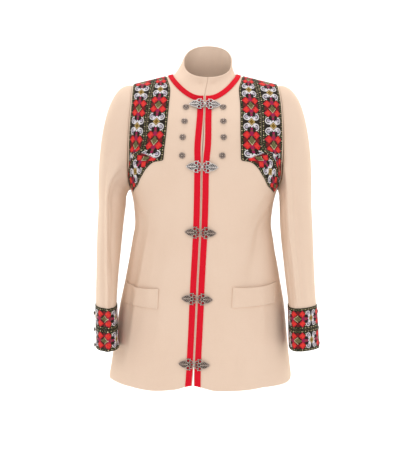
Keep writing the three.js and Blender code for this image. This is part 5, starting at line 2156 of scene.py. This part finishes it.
@dataclass
class Studio:
    """Camera, lights and the pale floor; places are in metres."""

    distance: float = 2.6
    pitch: float = 6.5
    lens: float = 90.6
    spot_x: float = -0.010
    spot_z: float = -0.050
    floor_z: float = -1.00

    def camera(self) -> None:
        """Sets the camera at the viewing angle."""
        data = bpy.data.cameras.new("view")
        data.lens = self.lens
        data.sensor_width = 36.0
        data.clip_end = 50.0
        camera = bpy.data.objects.new("view", data)
        camera.location = (self.spot_x, -self.distance, self.spot_z)
        camera.rotation_euler = Euler((math.radians(90 - self.pitch), 0.0, 0.0))
        bpy.context.scene.collection.objects.link(camera)
        bpy.context.scene.camera = camera

    @staticmethod
    def light(name: str, spot: Place, aim: Place, size: float, power: float, tint: Colour) -> None:
        """Adds one soft light.

        Args:
            name: Its name.
            spot: Where it is.
            aim: Where it points.
            size: Side of its square, in metres.
            power: In watts.
            tint: Its colour.
        """
        data = bpy.data.lights.new(name, "AREA")
        data.size, data.energy, data.color = size, power, tint
        lamp = bpy.data.objects.new(name, data)
        lamp.location = spot
        lamp.visible_camera = False
        lamp.rotation_euler = (Vector(aim) - Vector(spot)).to_track_quat("-Z", "Y").to_euler()
        bpy.context.scene.collection.objects.link(lamp)

    def floor(self) -> None:
        """Makes the pale floor that turns up into a back wall."""
        mesh = bmesh.new()
        bmesh.ops.create_grid(mesh, x_segments=2, y_segments=40, size=1.0)
        for vertex in mesh.verts:
            share = (vertex.co.y + 1) / 2
            if share < 0.5:
                place = (-6.0 + 16.0 * share, 0.0)
            elif share < 0.8:
                turn = (share - 0.5) / 0.3 * HALF_PI
                place = (2.0 + 1.5 * math.sin(turn), 1.5 * (1 - math.cos(turn)))
            else:
                place = (3.5, 1.5 + (share - 0.8) / 0.2 * 5)
            vertex.co = (vertex.co.x * 7, place[0], self.floor_z + place[1])
        for face in mesh.faces:
            face.smooth = True
        data = bpy.data.meshes.new("floor")
        mesh.to_mesh(data)
        mesh.free()
        data.materials.append(StudioFinish("studio_floor", FLOOR_TONE).build())
        ground = bpy.data.objects.new("floor", data)
        bpy.context.scene.collection.objects.link(ground)

    def build(self) -> None:
        """Sets up the whole studio."""
        self.camera()
        self.floor()
        world = bpy.data.worlds.new("studio")
        world.use_nodes = True
        sky = world.node_tree.nodes["Background"]
        sky.inputs[0].default_value = SKY
        sky.inputs[1].default_value = SKY_STRENGTH
        bpy.context.scene.world = world
        bpy.context.scene.view_settings.view_transform = "Standard"
        for row in LAMPS:
            self.light(*row)


def main() -> None:
    """Builds the jacket piece by piece and reports each one."""
    logging.basicConfig(level=logging.INFO, format="%(name)s: %(message)s")
    Studio().build()
    wool = WoolFinish("cream_wool", CREAM_LIGHT, CREAM_DARK).build()
    braid = BraidFinish("red_wool_braid", RED_LIT, RED_SHADED, BRAID_WIDTH).build()
    ribbon = RibbonFinish("flowered_ribbon").build()
    pewter = PewterFinish("cast_pewter").build()
    thread = ThreadFinish("cream_thread", THREAD_LIGHT, THREAD_DARK).build()
    body = BodyForm()
    cloth = ClothBody(body, wool)
    cloth.back()
    cloth.collar()
    sleeves = ClothSleeves(body, wool)
    trim = Trim(body, wool, braid, ribbon)
    trim.neck_braid()
    stitching = Stitching(body, thread)
    dull_pewter = PewterFinish("dark_pewter", DULL_PEWTER_DARK, DULL_PEWTER_BRIGHT).build()
    metal = Metalwork(body, pewter, dull_pewter)
    for side in Side:
        cloth.front(side)
        sleeves.piece(side, True)
        sleeves.piece(side, False)
        trim.front_braid(side)
        trim.pocket_welt(side)
        stitching.on_welt(trim, side)
        for flag in (False, True):
            trim.shoulder_ribbon(side, flag)
            trim.cuff_ribbon(side, flag)
        metal.front_buttons(side)
        metal.cuff_buttons(side)
    for index in range(len(CLASP_ZS)):
        metal.clasp_half(index, True)
        metal.clasp_half(index, False)


if __name__ == "__main__":
    main()
